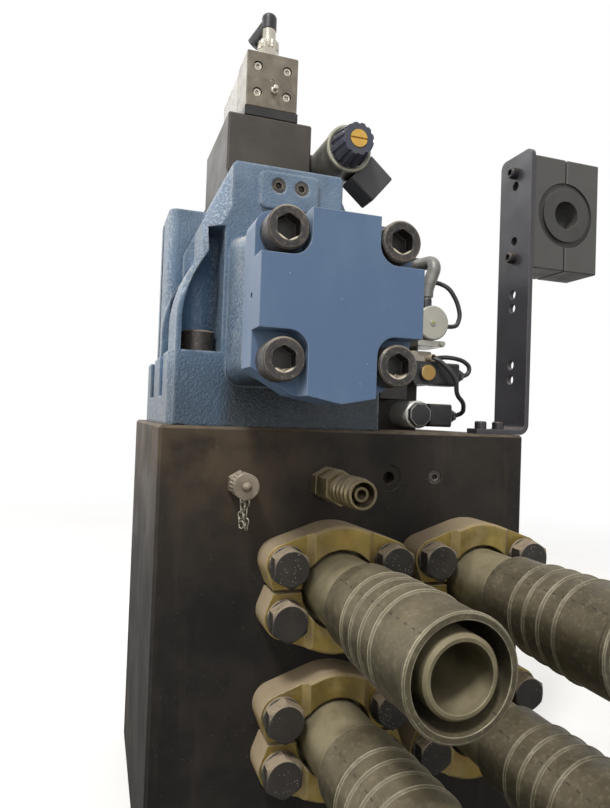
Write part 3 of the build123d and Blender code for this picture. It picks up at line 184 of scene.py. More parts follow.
class Look:
    """One material's node tree, with short calls for the nodes that the materials share."""

    def __init__(self, name):
        self.material = bpy.data.materials.new(name)
        self.material.use_nodes = True
        self.tree = self.material.node_tree
        self.shader = self.tree.nodes["Principled BSDF"]
        self.coords = self.tree.nodes.new("ShaderNodeTexCoord").outputs["Object"]
        self.normal = None

    def put(self, socket, value):
        """Link a socket to another one, or set it to a number or a hexadecimal colour."""
        if isinstance(value, bpy.types.NodeSocket):
            self.tree.links.new(value, socket)
        elif isinstance(value, str):
            socket.default_value = colour(value)
        else:
            socket.default_value = value

    def set(self, name, value):
        """Link or set one of the shader's inputs."""
        self.put(self.shader.inputs[name], value)

    def stretched(self, scale):
        """The coordinates, scaled by a share along each axis."""
        node = self.tree.nodes.new("ShaderNodeMapping")
        self.put(node.inputs["Vector"], self.coords)
        node.inputs["Scale"].default_value = scale
        return node.outputs["Vector"]

    def noise(self, scale, detail=4.0, rough=0.55, stretch=None, offset=0.0):
        """Soft noise, which another offset makes different."""
        node = self.tree.nodes.new("ShaderNodeTexNoise")
        node.noise_dimensions = "4D"
        node.inputs["W"].default_value = offset
        self.put(node.inputs["Vector"], self.stretched(stretch) if stretch else self.coords)
        node.inputs["Scale"].default_value = scale
        node.inputs["Detail"].default_value = detail
        node.inputs["Roughness"].default_value = rough
        return node.outputs["Fac"]

    def cells(self, scale, feature="F1"):
        """Distance from the middles of scattered cells."""
        node = self.tree.nodes.new("ShaderNodeTexVoronoi")
        node.feature = feature
        self.put(node.inputs["Vector"], self.coords)
        node.inputs["Scale"].default_value = scale
        return node.outputs["Distance"]

    def band(self, value, low, high, out_low=0.0, out_high=1.0):
        """A smooth step between two values, which may fall as well as rise."""
        node = self.tree.nodes.new("ShaderNodeMapRange")
        node.interpolation_type = "SMOOTHSTEP"
        self.put(node.inputs["Value"], value)
        node.inputs["From Min"].default_value = low
        node.inputs["From Max"].default_value = high
        node.inputs["To Min"].default_value = out_low
        node.inputs["To Max"].default_value = out_high
        return node.outputs["Result"]

    def patches(self, scale, low, high, out_low=0.0, out_high=1.0, **noise):
        """A smooth step in noise, which gives soft patches."""
        return self.band(self.noise(scale, **noise), low, high, out_low, out_high)

    def maths(self, operation, first, second=0.0, clamp=False):
        """The result of one calculation with numbers or sockets."""
        node = self.tree.nodes.new("ShaderNodeMath")
        node.operation = operation
        node.use_clamp = clamp
        self.put(node.inputs[0], first)
        self.put(node.inputs[1], second)
        return node.outputs[0]

    def times(self, first, second):
        """The product of two values."""
        return self.maths("MULTIPLY", first, second)

    def plus(self, first, second):
        """The sum of two values."""
        return self.maths("ADD", first, second)

    def mix(self, share, first, second):
        """A blend of two colours, with that share of the second."""
        node = self.tree.nodes.new("ShaderNodeMix")
        node.data_type = "RGBA"
        self.put(node.inputs[0], share)
        self.put(node.inputs[6], first)
        self.put(node.inputs[7], second)
        return node.outputs[2]

    def facing(self, axis):
        """How far the surface faces along an axis: 0 X, 1 Y, 2 Z."""
        node = self.tree.nodes.new("ShaderNodeNewGeometry")
        split = self.tree.nodes.new("ShaderNodeSeparateXYZ")
        self.put(split.inputs[0], node.outputs["Normal"])
        return split.outputs[axis]

    def place(self, axis):
        """The coordinate along an axis: 0 X, 1 Y, 2 Z."""
        split = self.tree.nodes.new("ShaderNodeSeparateXYZ")
        self.put(split.inputs[0], self.coords)
        return split.outputs[axis]

    def edge(self, radius, sharpness=3.0):
        """1 near sharp edges and 0 on open faces."""
        bevel = self.tree.nodes.new("ShaderNodeBevel")
        bevel.samples = 4
        bevel.inputs["Radius"].default_value = radius
        plain = self.tree.nodes.new("ShaderNodeNewGeometry")
        dot = self.tree.nodes.new("ShaderNodeVectorMath")
        dot.operation = "DOT_PRODUCT"
        self.put(dot.inputs[0], bevel.outputs["Normal"])
        self.put(dot.inputs[1], plain.outputs["Normal"])
        return self.band(dot.outputs["Value"], 1.0, 1.0 - 1.0 / sharpness)

    def bump(self, height, strength, distance):
        """Add relief to the shading's normal."""
        node = self.tree.nodes.new("ShaderNodeBump")
        node.inputs["Strength"].default_value = strength
        node.inputs["Distance"].default_value = distance
        self.put(node.inputs["Height"], height)
        if self.normal is not None:
            self.put(node.inputs["Normal"], self.normal)
        self.normal = node.outputs["Normal"]

    def rounded(self, radius):
        """Soften sharp edges in the shading."""
        bevel = self.tree.nodes.new("ShaderNodeBevel")
        bevel.samples = 4
        bevel.inputs["Radius"].default_value = radius
        self.normal = bevel.outputs["Normal"]

    def dust_share(self, amount, scale=60.0, low=0.15, high=0.85):
        """Share of dust, in patches, on what faces up."""
        upward = self.band(self.facing(2), low, high)
        patches = self.patches(scale, 0.25, 0.70, 0.35, 1.0, detail=5.0, rough=0.6, offset=2.0)
        return self.maths("MULTIPLY", self.times(upward, patches), amount, clamp=True)

    def dusted(self, tone, dust, amount, scale=60.0):
        """A tone with dust on what faces up."""
        return self.mix(self.dust_share(amount, scale), tone, dust)

    def specks(self, tone, fleck, scale, size, share):
        """A tone with small loose flecks of another colour, only in some patches."""
        spots = self.band(self.cells(scale), size, size * 0.5)
        patches = self.patches(38.0, 0.42, 0.58, detail=2.0, offset=9.0)
        return self.mix(self.times(self.times(spots, patches), share), tone, fleck)

    def offset_from_screws(self, axis, middle, half_spacing):
        """Distance along one axis from the nearer row of cover screws."""
        away = self.maths("SUBTRACT", self.place(axis), middle)
        row = self.times(self.maths("SIGN", away), half_spacing)
        return self.maths("SUBTRACT", away, row)

    def sockets(self, tone, dirt):
        """A tone with painted shade inside the cover screws' sockets and loose dirt at their bottom."""
        across = self.offset_from_screws(0, cover_screw_middle[0], cover_screw_half_spacing[0])
        upright = self.offset_from_screws(2, cover_screw_middle[1], cover_screw_half_spacing[1])
        squares = self.plus(self.times(across, across), self.times(upright, upright))
        inside = self.band(self.maths("SQRT", squares), *socket_radii)
        ragged = self.times(self.noise(300.0, 3.0, offset=21.0), dirt_unevenness)
        low = self.band(self.plus(upright, ragged), *dirt_heights)
        # Painted shade: the inside of each socket is darkened
        tone = self.mix(self.times(inside, 0.8), tone, socket_shade)
        return self.mix(self.times(inside, low), tone, dirt)

    def done(self, base, rough, metal=0.0, specular=None):
        """Join colour, roughness and relief to the shader and return the material."""
        self.set("Base Color", base)
        self.set("Roughness", rough)
        self.set("Metallic", metal)
        if specular is not None:
            self.set("Specular IOR Level", specular)
        if self.normal is not None:
            self.set("Normal", self.normal)
        return self.material


def cast_paint():
    """Thick paint on rough cast iron: pimpled, with a little pale grain everywhere, painted glints and
    painted light on faces turned left and up, painted light in the recessed bay, painted shadow low down and
    under the cover, and pale worn edges.
    """
    look = Look("cast_paint")
    look.rounded(0.0035)
    grain = look.noise(480.0, 2.0, 0.7)
    look.bump(look.cells(520.0, "SMOOTH_F1"), 0.50, 0.0009)
    look.bump(grain, 0.35, 0.0006)
    look.bump(look.noise(80.0, 3.0), 0.12, 0.0018)
    tone = look.mix(look.patches(20.0, 0.35, 0.65), paint_deep, paint_blue)
    film = look.patches(30.0, 0.25, 0.70, 0.15, 0.60, offset=23.0)
    tone = look.mix(look.times(look.band(look.place(2), *film_heights), film), tone, paint_film)
    # Painted light: pale glinting grain and pale patches on faces turned left and up, where the light falls
    left_and_up = look.maths("SUBTRACT", look.times(look.facing(2), 0.5), look.facing(0))
    lit = look.band(left_and_up, 0.1, 0.9)
    rubbed_and_glinting = look.plus(look.times(lit, 0.56), 0.06)
    tone = look.mix(look.times(look.band(grain, 0.48, 0.60), rubbed_and_glinting), tone, paint_worn_and_lit)
    pale_lit_patches = look.patches(36.0, 0.40, 0.65, 0.0, 0.15, offset=12.0)
    tone = look.mix(look.times(lit, pale_lit_patches), tone, paint_worn_and_lit)
    # Painted light: the recessed bay is lighter blue where it faces front
    forward = look.band(look.facing(1), -0.5, -0.95, 0.0, 0.75)
    lit_recess = look.times(look.band(look.place(1), *lit_recess_front), look.band(look.place(1), *lit_recess_back))
    tone = look.mix(look.times(lit_recess, forward), tone, paint_recess_light)
    # Painted shadow: darker low down on the casting, most of all under the cover on the right
    painted_shadow = look.patches(26.0, 0.2, 0.5, 0.75, 1.0, offset=14.0)
    painted_shadow = look.times(painted_shadow, look.band(look.place(2), *shadow_heights))
    painted_shadow = look.times(painted_shadow, look.band(look.place(0), *shadow_under_cover, 0.50, 0.98))
    tone = look.mix(painted_shadow, tone, paint_shadow)
    worn = look.times(look.edge(0.0040), look.patches(60.0, 0.3, 0.6, 0.10, 0.65))
    tone = look.mix(worn, tone, paint_worn_and_lit)
    dust = look.dust_share(0.7, 75.0)
    tone = look.mix(dust, tone, dust_pale)
    tone = look.specks(tone, paint_fleck, 150.0, 0.10, 0.7)
    rough = look.patches(240.0, 0.3, 0.7, 0.30, 0.52, detail=3.0, offset=1.0)
    return look.done(tone, look.plus(rough, look.times(dust, 0.3)))


def cover_paint():
    """Smoother paint on the machined covers: faint clouds, scuffs, small dents, pale edges, and painted
    light on faces turned left.
    """
    look = Look("cover_paint")
    look.rounded(0.0010)
    look.bump(look.noise(420.0, 3.0), 0.12, 0.0005)
    look.bump(look.noise(9.0, 2.0), 0.25, 0.003)
    film = look.band(look.place(2), *cover_film_heights, 0.15, 0.75)
    clouds = look.patches(11.0, 0.25, 0.75, 0.5, 1.0, detail=5.0)
    tone = look.mix(look.times(film, clouds), cover_blue, cover_grey)
    tall = (1.0, 1.0, 0.6)
    rubs = look.patches(17.0, 0.48, 0.70, 0.0, 0.30, detail=5.0, rough=0.6, stretch=tall, offset=25.0)
    tone = look.mix(rubs, tone, cover_rub)
    wide = (1.0, 1.0, 2.6)
    scuffs = look.patches(70.0, 0.64, 0.76, 0.0, 0.35, detail=6.0, rough=0.7, stretch=wide, offset=3.0)
    tone = look.mix(scuffs, tone, cover_scuff)
    tone = look.specks(tone, cover_pale_fleck, 110.0, 0.07, 0.7)
    tone = look.specks(tone, cover_dark_fleck, 90.0, 0.05, 0.6)
    # Painted light: faces turned left are paler
    lit_left_side = look.band(look.facing(0), -0.4, -0.9, 0.0, 0.18)
    tone = look.mix(lit_left_side, tone, paint_worn_and_lit)
    tone = look.mix(look.times(look.edge(0.0011), 0.6), tone, paint_worn_and_lit)
    tone = look.dusted(tone, dust_pale, 0.6)
    rough = look.patches(30.0, 0.3, 0.7, 0.40, 0.56, offset=1.0)
    return look.done(tone, rough)


def dusty_steel(name, base, second, dust, amount, rough, metal, edge_tone=None, edge_size=0.0012,
                mottle=0.0, dirt=None):
    """Dark steel with brown patches, dust on top, loose flecks and brighter edges."""
    look = Look(name)
    look.rounded(0.0010)
    look.bump(look.noise(500.0, 3.0), 0.22, 0.0005)
    tone = look.mix(look.patches(28.0, 0.38, 0.62, detail=6.0, rough=0.6), base, second)
    if mottle:
        spots = look.patches(260.0, 0.50, 0.75, 0.0, mottle, rough=0.7, offset=18.0)
        tone = look.mix(spots, tone, dust)
    if edge_tone:
        worn = look.patches(120.0, 0.30, 0.55, 0.2, 1.0, detail=3.0)
        tone = look.mix(look.times(look.edge(edge_size), worn), tone, edge_tone)
    tone = look.dusted(tone, dust, amount)
    tone = look.specks(tone, dust_pale, 300.0, 0.09, 0.7)
    if dirt:
        tone = look.sockets(tone, dirt)
    finish = look.patches(18.0, 0.3, 0.7, rough - 0.08, rough + 0.10, offset=7.0)
    return look.done(tone, finish, metal)


def block_steel():
    """Oxidised black steel block with a tan haze of dust round the fittings."""
    look = Look("block_steel")
    look.rounded(0.0014)
    look.bump(look.noise(600.0, 3.0), 0.18, 0.0004)
    look.bump(look.noise(40.0, 3.0, stretch=(1.0, 1.0, 0.25)), 0.12, 0.0010)
    tone = look.mix(look.patches(16.0, 0.35, 0.65, detail=6.0, rough=0.6), block_black, block_brown)
    haze = look.patches(24.0, 0.25, 0.65, detail=5.0, offset=4.0)
    haze = look.times(haze, look.band(look.place(2), *haze_heights))
    haze = look.times(haze, look.band(look.place(0), *haze_widths, 0.12, 0.72))
    tone = look.mix(haze, tone, block_haze)
    tall = (1.0, 1.0, 0.12)
    runs = look.patches(30.0, 0.56, 0.72, 0.0, 0.30, detail=5.0, rough=0.6, stretch=tall, offset=6.0)
    tone = look.mix(runs, tone, block_run)
    worn = look.times(look.edge(0.0018), look.patches(90.0, 0.35, 0.6, 0.0, 0.6, detail=3.0))
    tone = look.mix(worn, tone, block_edge)
    tone = look.dusted(tone, block_dust, 0.75)
    tone = look.specks(tone, dust_white, 260.0, 0.055, 0.7)
    rough = look.patches(18.0, 0.3, 0.7, 0.52, 0.70, offset=7.0)
    return look.done(tone, rough, 0.0, 0.2)


def bolt_steel():
    """Black bolt heads: dark faces, thick tan dust on the upper flats, pale flecks and rims."""
    look = Look("bolt_steel")
    look.rounded(0.0012)
    look.bump(look.noise(420.0, 3.0), 0.3, 0.0005)
    tone = look.mix(look.patches(60.0, 0.35, 0.65), bolt_dark, bolt_brown)
    rims = look.times(look.edge(0.0013), look.patches(90.0, 0.3, 0.6, 0.2, 0.8, detail=3.0))
    tone = look.mix(rims, tone, bolt_edge)
    upward = look.band(look.facing(2), -0.05, 0.45)
    caked = look.patches(120.0, 0.25, 0.5, 0.45, 1.0, rough=0.6, offset=2.0)
    tone = look.mix(look.times(upward, caked), tone, bolt_dust)
    tone = look.specks(tone, dust_white, 420.0, 0.16, 0.9)
    rough = look.patches(50.0, 0.3, 0.7, 0.42, 0.6, offset=7.0)
    return look.done(tone, look.plus(rough, look.times(upward, 0.2)), 0.0, 0.35)


def clamp_zinc():
    """Yellow plated clamp: bright towards the front, thick tan dust on every other side."""
    look = Look("clamp_zinc")
    look.rounded(0.0014)
    look.bump(look.noise(300.0, 3.0), 0.25, 0.0005)
    tone = look.mix(look.patches(30.0, 0.35, 0.65, detail=5.0, rough=0.6), zinc_yellow, zinc_green)
    tone = look.mix(look.patches(34.0, 0.58, 0.74, 0.0, 0.45, offset=5.0), tone, zinc_rust)
    tone = look.mix(look.times(look.edge(0.0012), 0.6), tone, zinc_bright)
    not_forward = look.band(look.facing(1), -0.55, -0.92, 1.0, 0.0)
    upward = look.band(look.facing(2), -0.6, 0.3, 0.35, 1.0)
    caked = look.patches(110.0, 0.2, 0.5, 0.6, 1.0, detail=5.0, rough=0.6, offset=2.0)
    film = look.patches(50.0, 0.45, 0.7, 0.0, 0.3, detail=5.0, offset=8.0)
    share = look.maths("MAXIMUM", look.times(look.times(not_forward, upward), caked), film)
    tone = look.mix(share, tone, zinc_dust)
    look.bump(look.times(share, look.noise(900.0, 2.0)), 0.6, 0.0008)
    tone = look.specks(tone, dust_white, 380.0, 0.08, 0.8)
    metal = look.maths("SUBTRACT", 0.75, share, clamp=True)
    return look.done(tone, look.plus(look.times(share, 0.45), 0.38), metal)


def plated(name, base, second, dust, amount, rough):
    """Plated steel, blotchy, with bright edges and with dust where it faces up."""
    look = Look(name)
    look.rounded(0.0009)
    look.bump(look.noise(300.0, 3.0), 0.14, 0.0004)
    tone = look.mix(look.patches(45.0, 0.35, 0.65, detail=5.0, rough=0.6), base, second)
    tone = look.mix(look.times(look.edge(0.0010), 0.6), tone, zinc_bright)
    share = look.dust_share(amount, 55.0, -0.1, 0.7)
    tone = look.mix(share, tone, dust)
    tone = look.specks(tone, dust_white, 380.0, 0.08, 0.8)
    metal = look.maths("SUBTRACT", 0.75, share, clamp=True)
    return look.done(tone, look.plus(look.times(share, 0.4), rough), metal)


def machined(name, base, rough, metal, dust=None):
    """Machined or plated metal with fine tool marks."""
    look = Look(name)
    look.rounded(0.0006)
    look.bump(look.noise(160.0, 2.0, stretch=(1.0, 1.0, 40.0)), 0.08, 0.0003)
    tone = look.mix(look.patches(60.0, 0.3, 0.7, 0.0, 0.16), base, zinc_bright)
    if dust:
        tone = look.dusted(tone, dust, 0.6)
    finish = look.patches(90.0, 0.3, 0.7, rough - 0.07, rough + 0.1, offset=4.0)
    return look.done(tone, finish, metal)


def moulded(name, base, rough, dust=dust_tan, amount=0.35):
    """Moulded plastic or rubber with a fine grain, worn edges and a little dust."""
    look = Look(name)
    look.rounded(0.0007)
    look.bump(look.noise(900.0, 2.0), 0.12, 0.0003)
    tone = look.mix(look.patches(50.0, 0.4, 0.75, 0.0, 0.35, detail=5.0), base, plastic_blotch)
    tone = look.mix(look.times(look.edge(0.0010), 0.35), tone, plastic_edge)
    tone = look.dusted(tone, dust, amount, 90.0)
    tone = look.specks(tone, dust_white, 420.0, 0.06, 0.6)
    finish = look.patches(40.0, 0.3, 0.7, rough - 0.06, rough + 0.12, detail=3.0, offset=6.0)
    return look.done(tone, finish)


def shell_metal(name, centre_x, centre_z, grime_and_shade):
    """Plated crimped shell: olive blotches, dust on top, grime that on the right is also painted shade,
    painted highlights on the crests, crimp dashes along the axis.
    """
    look = Look(name)
    look.rounded(0.0007)
    tone = look.mix(look.patches(26.0, 0.32, 0.68, detail=5.0, rough=0.6), shell_dark, shell_olive)
    ringed = (0.2, 1.0, 0.2)
    bands = look.patches(120.0, 0.45, 0.7, 0.0, 0.30, detail=3.0, rough=0.6, stretch=ringed, offset=3.0)
    tone = look.mix(bands, tone, shell_band)
    stains = look.patches(44.0, 0.56, 0.62, 0.0, 0.35, detail=5.0, rough=0.65, offset=11.0)
    tone = look.mix(stains, tone, shell_stain)
    share = look.dust_share(0.85, 35.0, -0.1, 0.6)
    tone = look.mix(share, tone, shell_dust)
    # Grime in patches, and on the shells on the right also painted shade
    tone = look.mix(look.patches(15.0, 0.2, 0.7, grime_and_shade * 0.6, grime_and_shade, offset=16.0), tone, shell_grime_and_shade)
    scale = look.patches(210.0, 0.48, 0.68, 0.0, 0.40, detail=5.0, rough=0.7, offset=19.0)
    tone = look.mix(scale, tone, shell_scale)
    # Painted highlight: thin bright lines on the crests
    crest_highlight = look.times(look.edge(0.0013, 9.0), look.patches(38.0, 0.35, 0.6, 0.28, 0.80, detail=3.0))
    tone = look.mix(crest_highlight, tone, shell_crest_highlight)
    across = look.maths("SUBTRACT", look.place(0), centre_x)
    upright = look.maths("SUBTRACT", look.place(2), centre_z)
    angle = look.maths("ARCTAN2", upright, across)
    line = look.band(look.maths("SINE", look.times(angle, crimp_lines)), 0.993, 0.9995)
    dash = look.band(look.maths("SINE", look.times(look.place(1), crimp_dashes)), 0.0, 0.4)
    side_on = look.band(look.maths("ABSOLUTE", look.facing(1)), 0.6, 0.3)
    crimp = look.times(look.times(line, dash), side_on)
    tone = look.mix(look.times(crimp, 0.6), tone, shell_crimp)
    tone = look.specks(tone, dust_white, 300.0, 0.09, 0.9)
    look.bump(look.times(crimp, -1.0), 0.6, 0.0006)
    look.bump(look.noise(420.0, 3.0), 0.18, 0.0004)
    metal = look.maths("SUBTRACT", 0.65, look.times(share, 0.7), clamp=True)
    finish = look.patches(80.0, 0.3, 0.7, 0.34, 0.50)
    return look.done(tone, look.plus(look.times(share, 0.3), finish), metal)


def corded(name, base, rings):
    """Flexible conduit with fine rings round it."""
    look = Look(name)
    along = look.plus(look.place(1), look.place(2))
    look.bump(look.maths("SINE", look.times(along, rings)), 0.12, 0.0005)
    tone = look.mix(look.patches(80.0, 0.3, 0.7), base, conduit_pale)
    return look.done(tone, 0.42, 0.25)


def dress(names, material):
    """Give carried-over CAD nodes their material."""
    for name in names:
        for slot in nodes[name].material_slots:
            slot.material = material


def dress_casting_and_block():
    """Give the casting, its covers and screws, the block and the other screws their materials."""
    dress(["valve_body"], cast_paint())
    dress(["front_cover", "rear_cover"], cover_paint())
    dress(["manifold_block"], block_steel())
    dress(["socket_screws", "socket_plugs"], dusty_steel(
        "black_screws", "#272424", "#3E3834", dust_pale, amount=0.7, rough=0.42, metal=0.2,
        edge_tone="#A89E90", edge_size=0.0020, mottle=0.3, dirt="#C4B9A4"))
    dress(["flange_bolts"], bolt_steel())
    dress(["bracket_screws"], dusty_steel(
        "small_bolts", "#2C2A2C", "#3D3A38", dust_tan, amount=0.5, rough=0.42, metal=0.3,
        edge_tone="#6F6962"))


def dress_hose_ends():
    """Give the clamps, stems, shells and small fittings their materials."""
    hose_ends = range(1, 5)
    dress([f"flange_clamp_{number}" for number in hose_ends], clamp_zinc())
    for number in hose_ends:
        name = f"hose_ferrule_{number}"
        low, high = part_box(name)
        middle = (low + high) / 2
        # The shells on the right get more, as painted shade
        grime_and_shade = grime_and_shade_right if middle.x > grime_and_shade_border else grime_left
        dress([name], shell_metal(f"shell_{number}", middle.x, middle.z, grime_and_shade))
    dress(["hose_stems"], plated("stem_zinc", "#857D62", "#6A624B", "#80765C", amount=0.95, rough=0.42))
    dress(["small_hose_fitting"], plated(
        "fitting_zinc", "#7F7252", "#5B503B", "#8C7F68", amount=0.9, rough=0.42))
    dress(["test_point", "test_cap"], plated(
        "cap_zinc", "#94897A", "#756B5C", "#9A8E7B", amount=0.9, rough=0.48))


def dress_pilot_stage():
    """Give the pilot stage and its connector their materials."""
    dress(["pilot_adapter"], dusty_steel(
        "adapter_steel", "#443F39", "#3C3732", "#7F7567", amount=0.6, rough=0.46, metal=0.35,
        edge_tone="#7D756A"))
    dress(["pilot_plates"], dusty_steel(
        "plate_black", "#1E1D1D", "#292726", "#5A5147", amount=0.5, rough=0.45, metal=0.2))
    dress(["pilot_end_cover"], machined("stainless", stainless_beige, rough=0.36, metal=0.6, dust=dust_pale))
    dress(["pilot_valve"], machined("pilot_steel", "#918D86", rough=0.42, metal=0.3))
    dress(["pilot_rear_coil"], moulded("coil_black", plastic_black, rough=0.5))
    dress(["round_connector"], machined("nickel", nickel_pale, rough=0.26, metal=0.85))
    dress(["elbow_plug"], moulded("elbow_black", "#1D1D20", rough=0.40))


def dress_small_valves():
    """Give the side valve, the valve column, the pressure switch and their leads their materials."""
    dress(["side_valve"], dusty_steel(
        "side_steel", "#3B3834", "#302D2A", "#6D6457", amount=0.6, rough=0.5, metal=0.4))
    dress(["side_coil"], plated("coil_zinc", "#8B8A83", "#66655F", dust_pale, amount=0.6, rough=0.4))
    dress(["side_coil_nut"], moulded("nut_plastic", "#353846", rough=0.38, dust=dust_pale, amount=0.25))
    dress(["side_button"], moulded("button_plastic", "#CDA040", rough=0.4, dust=dust_pale, amount=0.2))
    dress(["side_plug"], moulded("plug_grey", "#3B3B3D", rough=0.45))
    dress(["lower_plug", "upper_plug"], moulded("plug_black", plastic_black, rough=0.42))
    dress(["valve_column"], dusty_steel(
        "column_steel", "#2C2A28", "#24211F", "#665C50", amount=0.7, rough=0.5, metal=0.3,
        edge_tone="#5A544D"))
    dress(["lower_coil"], machined("coil_bright", "#C9C8C2", rough=0.34, metal=0.2))
    dress(["upper_coil"], moulded("coil_body", "#212123", rough=0.38))
    dress(["terminal_block"], moulded("terminal_pale", "#A79F90", rough=0.5, dust=dust_tan, amount=0.4))
    dress(["pressure_switch"], machined("switch_alloy", "#ABA99F", rough=0.50, metal=0.35))
    dress(["switch_foot"], machined("foot_zinc", "#A3A199", rough=0.32, metal=0.8))
    dress(["conduit"], corded("conduit_grey", "#6F6E6A", conduit_rings))
    dress(["leads"], moulded("lead_rubber", "#2E2E30", rough=0.36))


def dress_bracket():
    """Give the bracket and its hose clamp their materials."""
    dress(["bracket"], dusty_steel(
        "bracket_paint", "#3E3C40", "#373539", "#7E736E", amount=0.7, rough=0.42, metal=0.1,
        edge_tone="#716D70"))
    dress(["hose_clamp"], moulded("clamp_plastic", "#474542", rough=0.5, dust=dust_clamp, amount=0.5))
    dress(["clamp_grommet"], moulded("grommet_rubber", "#353432", rough=0.55, dust=dust_clamp, amount=0.4))


# Directions
to_front = (0, -1, 0)
to_right = (1, 0, 0)
to_top = (0, 0, 1)
to_bottom = (0, 0, -1)

# Outlines and edges of the small pieces that stay with the scene, in metres and degrees
steps_round = 32
edge_width = 0.0003
edge_angle = 35.0
seat_gap = 0.0002

# Socket screws of the pilot stage's end cover
screw_half_spacing_x = 0.0155
screw_half_spacing_z = 0.0135
screw_seat = 0.0050
screw_head_radius = 0.0042
screw_head_height = 0.0040
screw_head_edge = 0.08 * screw_head_radius
screw_key_radius = 0.0021
screw_key_floor = 0.4 * screw_head_height

# Bleed nipple: outlines as shares of its radius and length, with their flat sides
nipple_radius = 0.0030
nipple_length = 0.0120
nipple_shift = 0.0015
nipple_drop = 0.0100
nipple_seat = 0.0010
nipple_outlines = [
    (1.30, 0.00, 6),
    (1.30, 0.42, 6),
    (0.72, 0.46, 0),
    (0.72, 0.84, 0),
    (0.95, 0.88, 0),
    (0.60, 1.00, 0),
]
plug_radius = 0.0023
plug_length = 0.0050
plug_sink = 0.0001

# Knurled ring of the connector
knurl_radius = 0.0114
knurl_height = 0.0090
knurl_rise = 0.0155
knurl_ridges = 16
knurl_depth = 0.0012

# Chain of the test cap
link_length = 0.0062
link_width = 0.0044
link_wire = 0.0007
link_corners = 16
chain_step = link_length - 3.2 * link_wire
chain_links = 6
chain_strands = 2
chain_gap = 0.0036
chain_sway = 0.0010
chain_sway_step = 1.3
chain_sway_shift = 2.0
chain_lag = 0.4
chain_setback = 0.001
chain_rise = 0.0014

# Trims of the coils, and a pale ring on the side coil that is a painted highlight
disc_radius = 0.0088
disc_rim_radius = 0.0080
disc_thickness = 0.0008
knob_seat = 0.0070
knob_radius = 0.0142
knob_top_radius = 0.0120
knob_length = 0.0065
knob_height = 0.0072
# Pale ring on the side coil's front edge, a painted highlight
highlight_ring_radius = 0.0228
highlight_ring_width = 0.0022
highlight_ring_depth = 0.0016

# Glands and sleeves round the leads, and the bush of the conduit
lead_room = 0.0030
gland_radius = 0.0080
gland_length = 0.0110
gland_ribs = 12
gland_rib_depth = 0.0007
sleeve_radius = 0.0044
sleeve_length = 0.0130
sleeve_shift = 0.009
sleeve_drop = 0.002
bush_radius = 0.0062
bush_length = 0.0110
bush_rib_depth = 0.0006
foot_depth = 0.001

# Ribs on the arm of the elbow plug, which leads left and down
elbow_radius = 0.0080
elbow_arm_radius = 0.0062
elbow_arm_heading = 215.0
elbow_arm_drop = 50.0
elbow_ribs = 4
elbow_rib_pitch = 0.0032
elbow_rib_start = 0.0130
elbow_rib_rise = 0.0003
elbow_rib_width = 0.0017

# Lens of the pressure switch
lens_radius = 0.0017
lens_inset = 0.0205
lens_side = 0.0005
lens_height = 0.0009


def side_of(name, direction):
    """Middle of the side of a CAD node's box that faces a direction along an axis."""
    low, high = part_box(name)
    middle = (low + high) / 2
    half = (high - low) / 2
    return middle + Vector([half[axis] * direction[axis] for axis in range(3)])


def circle(radius, ridges=0, depth=0.0, sides=0):
    """A closed outline of steps_round points: round, ridged, or with flat sides."""
    points = []
    for step in range(steps_round):
        angle = 2 * pi * step / steps_round
        reach = radius
        if ridges:
            reach = radius - depth * (0.5 + 0.5 * cos(ridges * angle))
        if sides:
            sector = 2 * pi / sides
            off = (angle + sector / 2) % sector - sector / 2
            reach = radius * cos(sector / 2) / cos(off)
        points.append((reach * cos(angle), reach * sin(angle)))
    return points


def stacked(name, material, loops, place, direction, hollow=False):
    """A closed piece through outlines at heights along a direction; a hollow one ends where it began."""
    mesh = bmesh.new()
    turn = Vector(direction).to_track_quat("Z", "Y").to_matrix()
    rings = []
    for outline, height in loops:
        ring = [mesh.verts.new(Vector(place) + turn @ Vector((x, y, height))) for x, y in outline]
        rings.append(ring)
    following = rings[1:] + rings[:1] if hollow else rings[1:]
    for low, high in zip(rings, following):
        for i in range(steps_round):
            j = (i + 1) % steps_round
            mesh.faces.new((low[i], low[j], high[j], high[i]))
    if not hollow:
        mesh.faces.new(list(reversed(rings[0])))
        mesh.faces.new(rings[-1])
    bmesh.ops.recalc_face_normals(mesh, faces=mesh.faces)
    data = bpy.data.meshes.new(name)
    mesh.to_mesh(data)
    mesh.free()
    data.materials.append(material)
    for polygon in data.polygons:
        polygon.use_smooth = len(polygon.vertices) == 4
    piece = bpy.data.objects.new(name, data)
    bpy.context.scene.collection.objects.link(piece)
    edges = piece.modifiers.new("edges", "BEVEL")
    edges.width = edge_width
    edges.segments = 2
    edges.limit_method = "ANGLE"
    edges.angle_limit = radians(edge_angle)
    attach(piece, "root")


def screw_outlines():
    """Outlines of a cylinder head with a hexagon socket in its top."""
    key = circle(screw_key_radius, sides=6)
    return [
        (circle(screw_head_radius), 0.0),
        (circle(screw_head_radius), screw_head_height - screw_head_edge),
        (circle(screw_head_radius - screw_head_edge), screw_head_height),
        (circle(screw_key_radius * 1.12), screw_head_height),
        (key, screw_head_height - screw_head_edge),
        (key, screw_key_floor),
    ]


def add_pilot_screws(material):
    """Four socket screws in the sunk holes of the pilot stage's end cover, and its bleed nipple."""
    front = side_of("pilot_end_cover", to_front)
    for n, (side, up) in enumerate([(-1, -1), (1, -1), (-1, 1), (1, 1)], 1):
        place = front + Vector((side * screw_half_spacing_x, screw_seat, up * screw_half_spacing_z))
        stacked(f"pilot_screw_{n}", material, screw_outlines(), place, to_front)
    loops = []
    for width, length, sides in nipple_outlines:
        loops.append((circle(nipple_radius * width, sides=sides), nipple_length * length))
    place = front + Vector((nipple_shift, nipple_seat, -nipple_drop))
    stacked("bleed_nipple", material, loops, place, to_front)


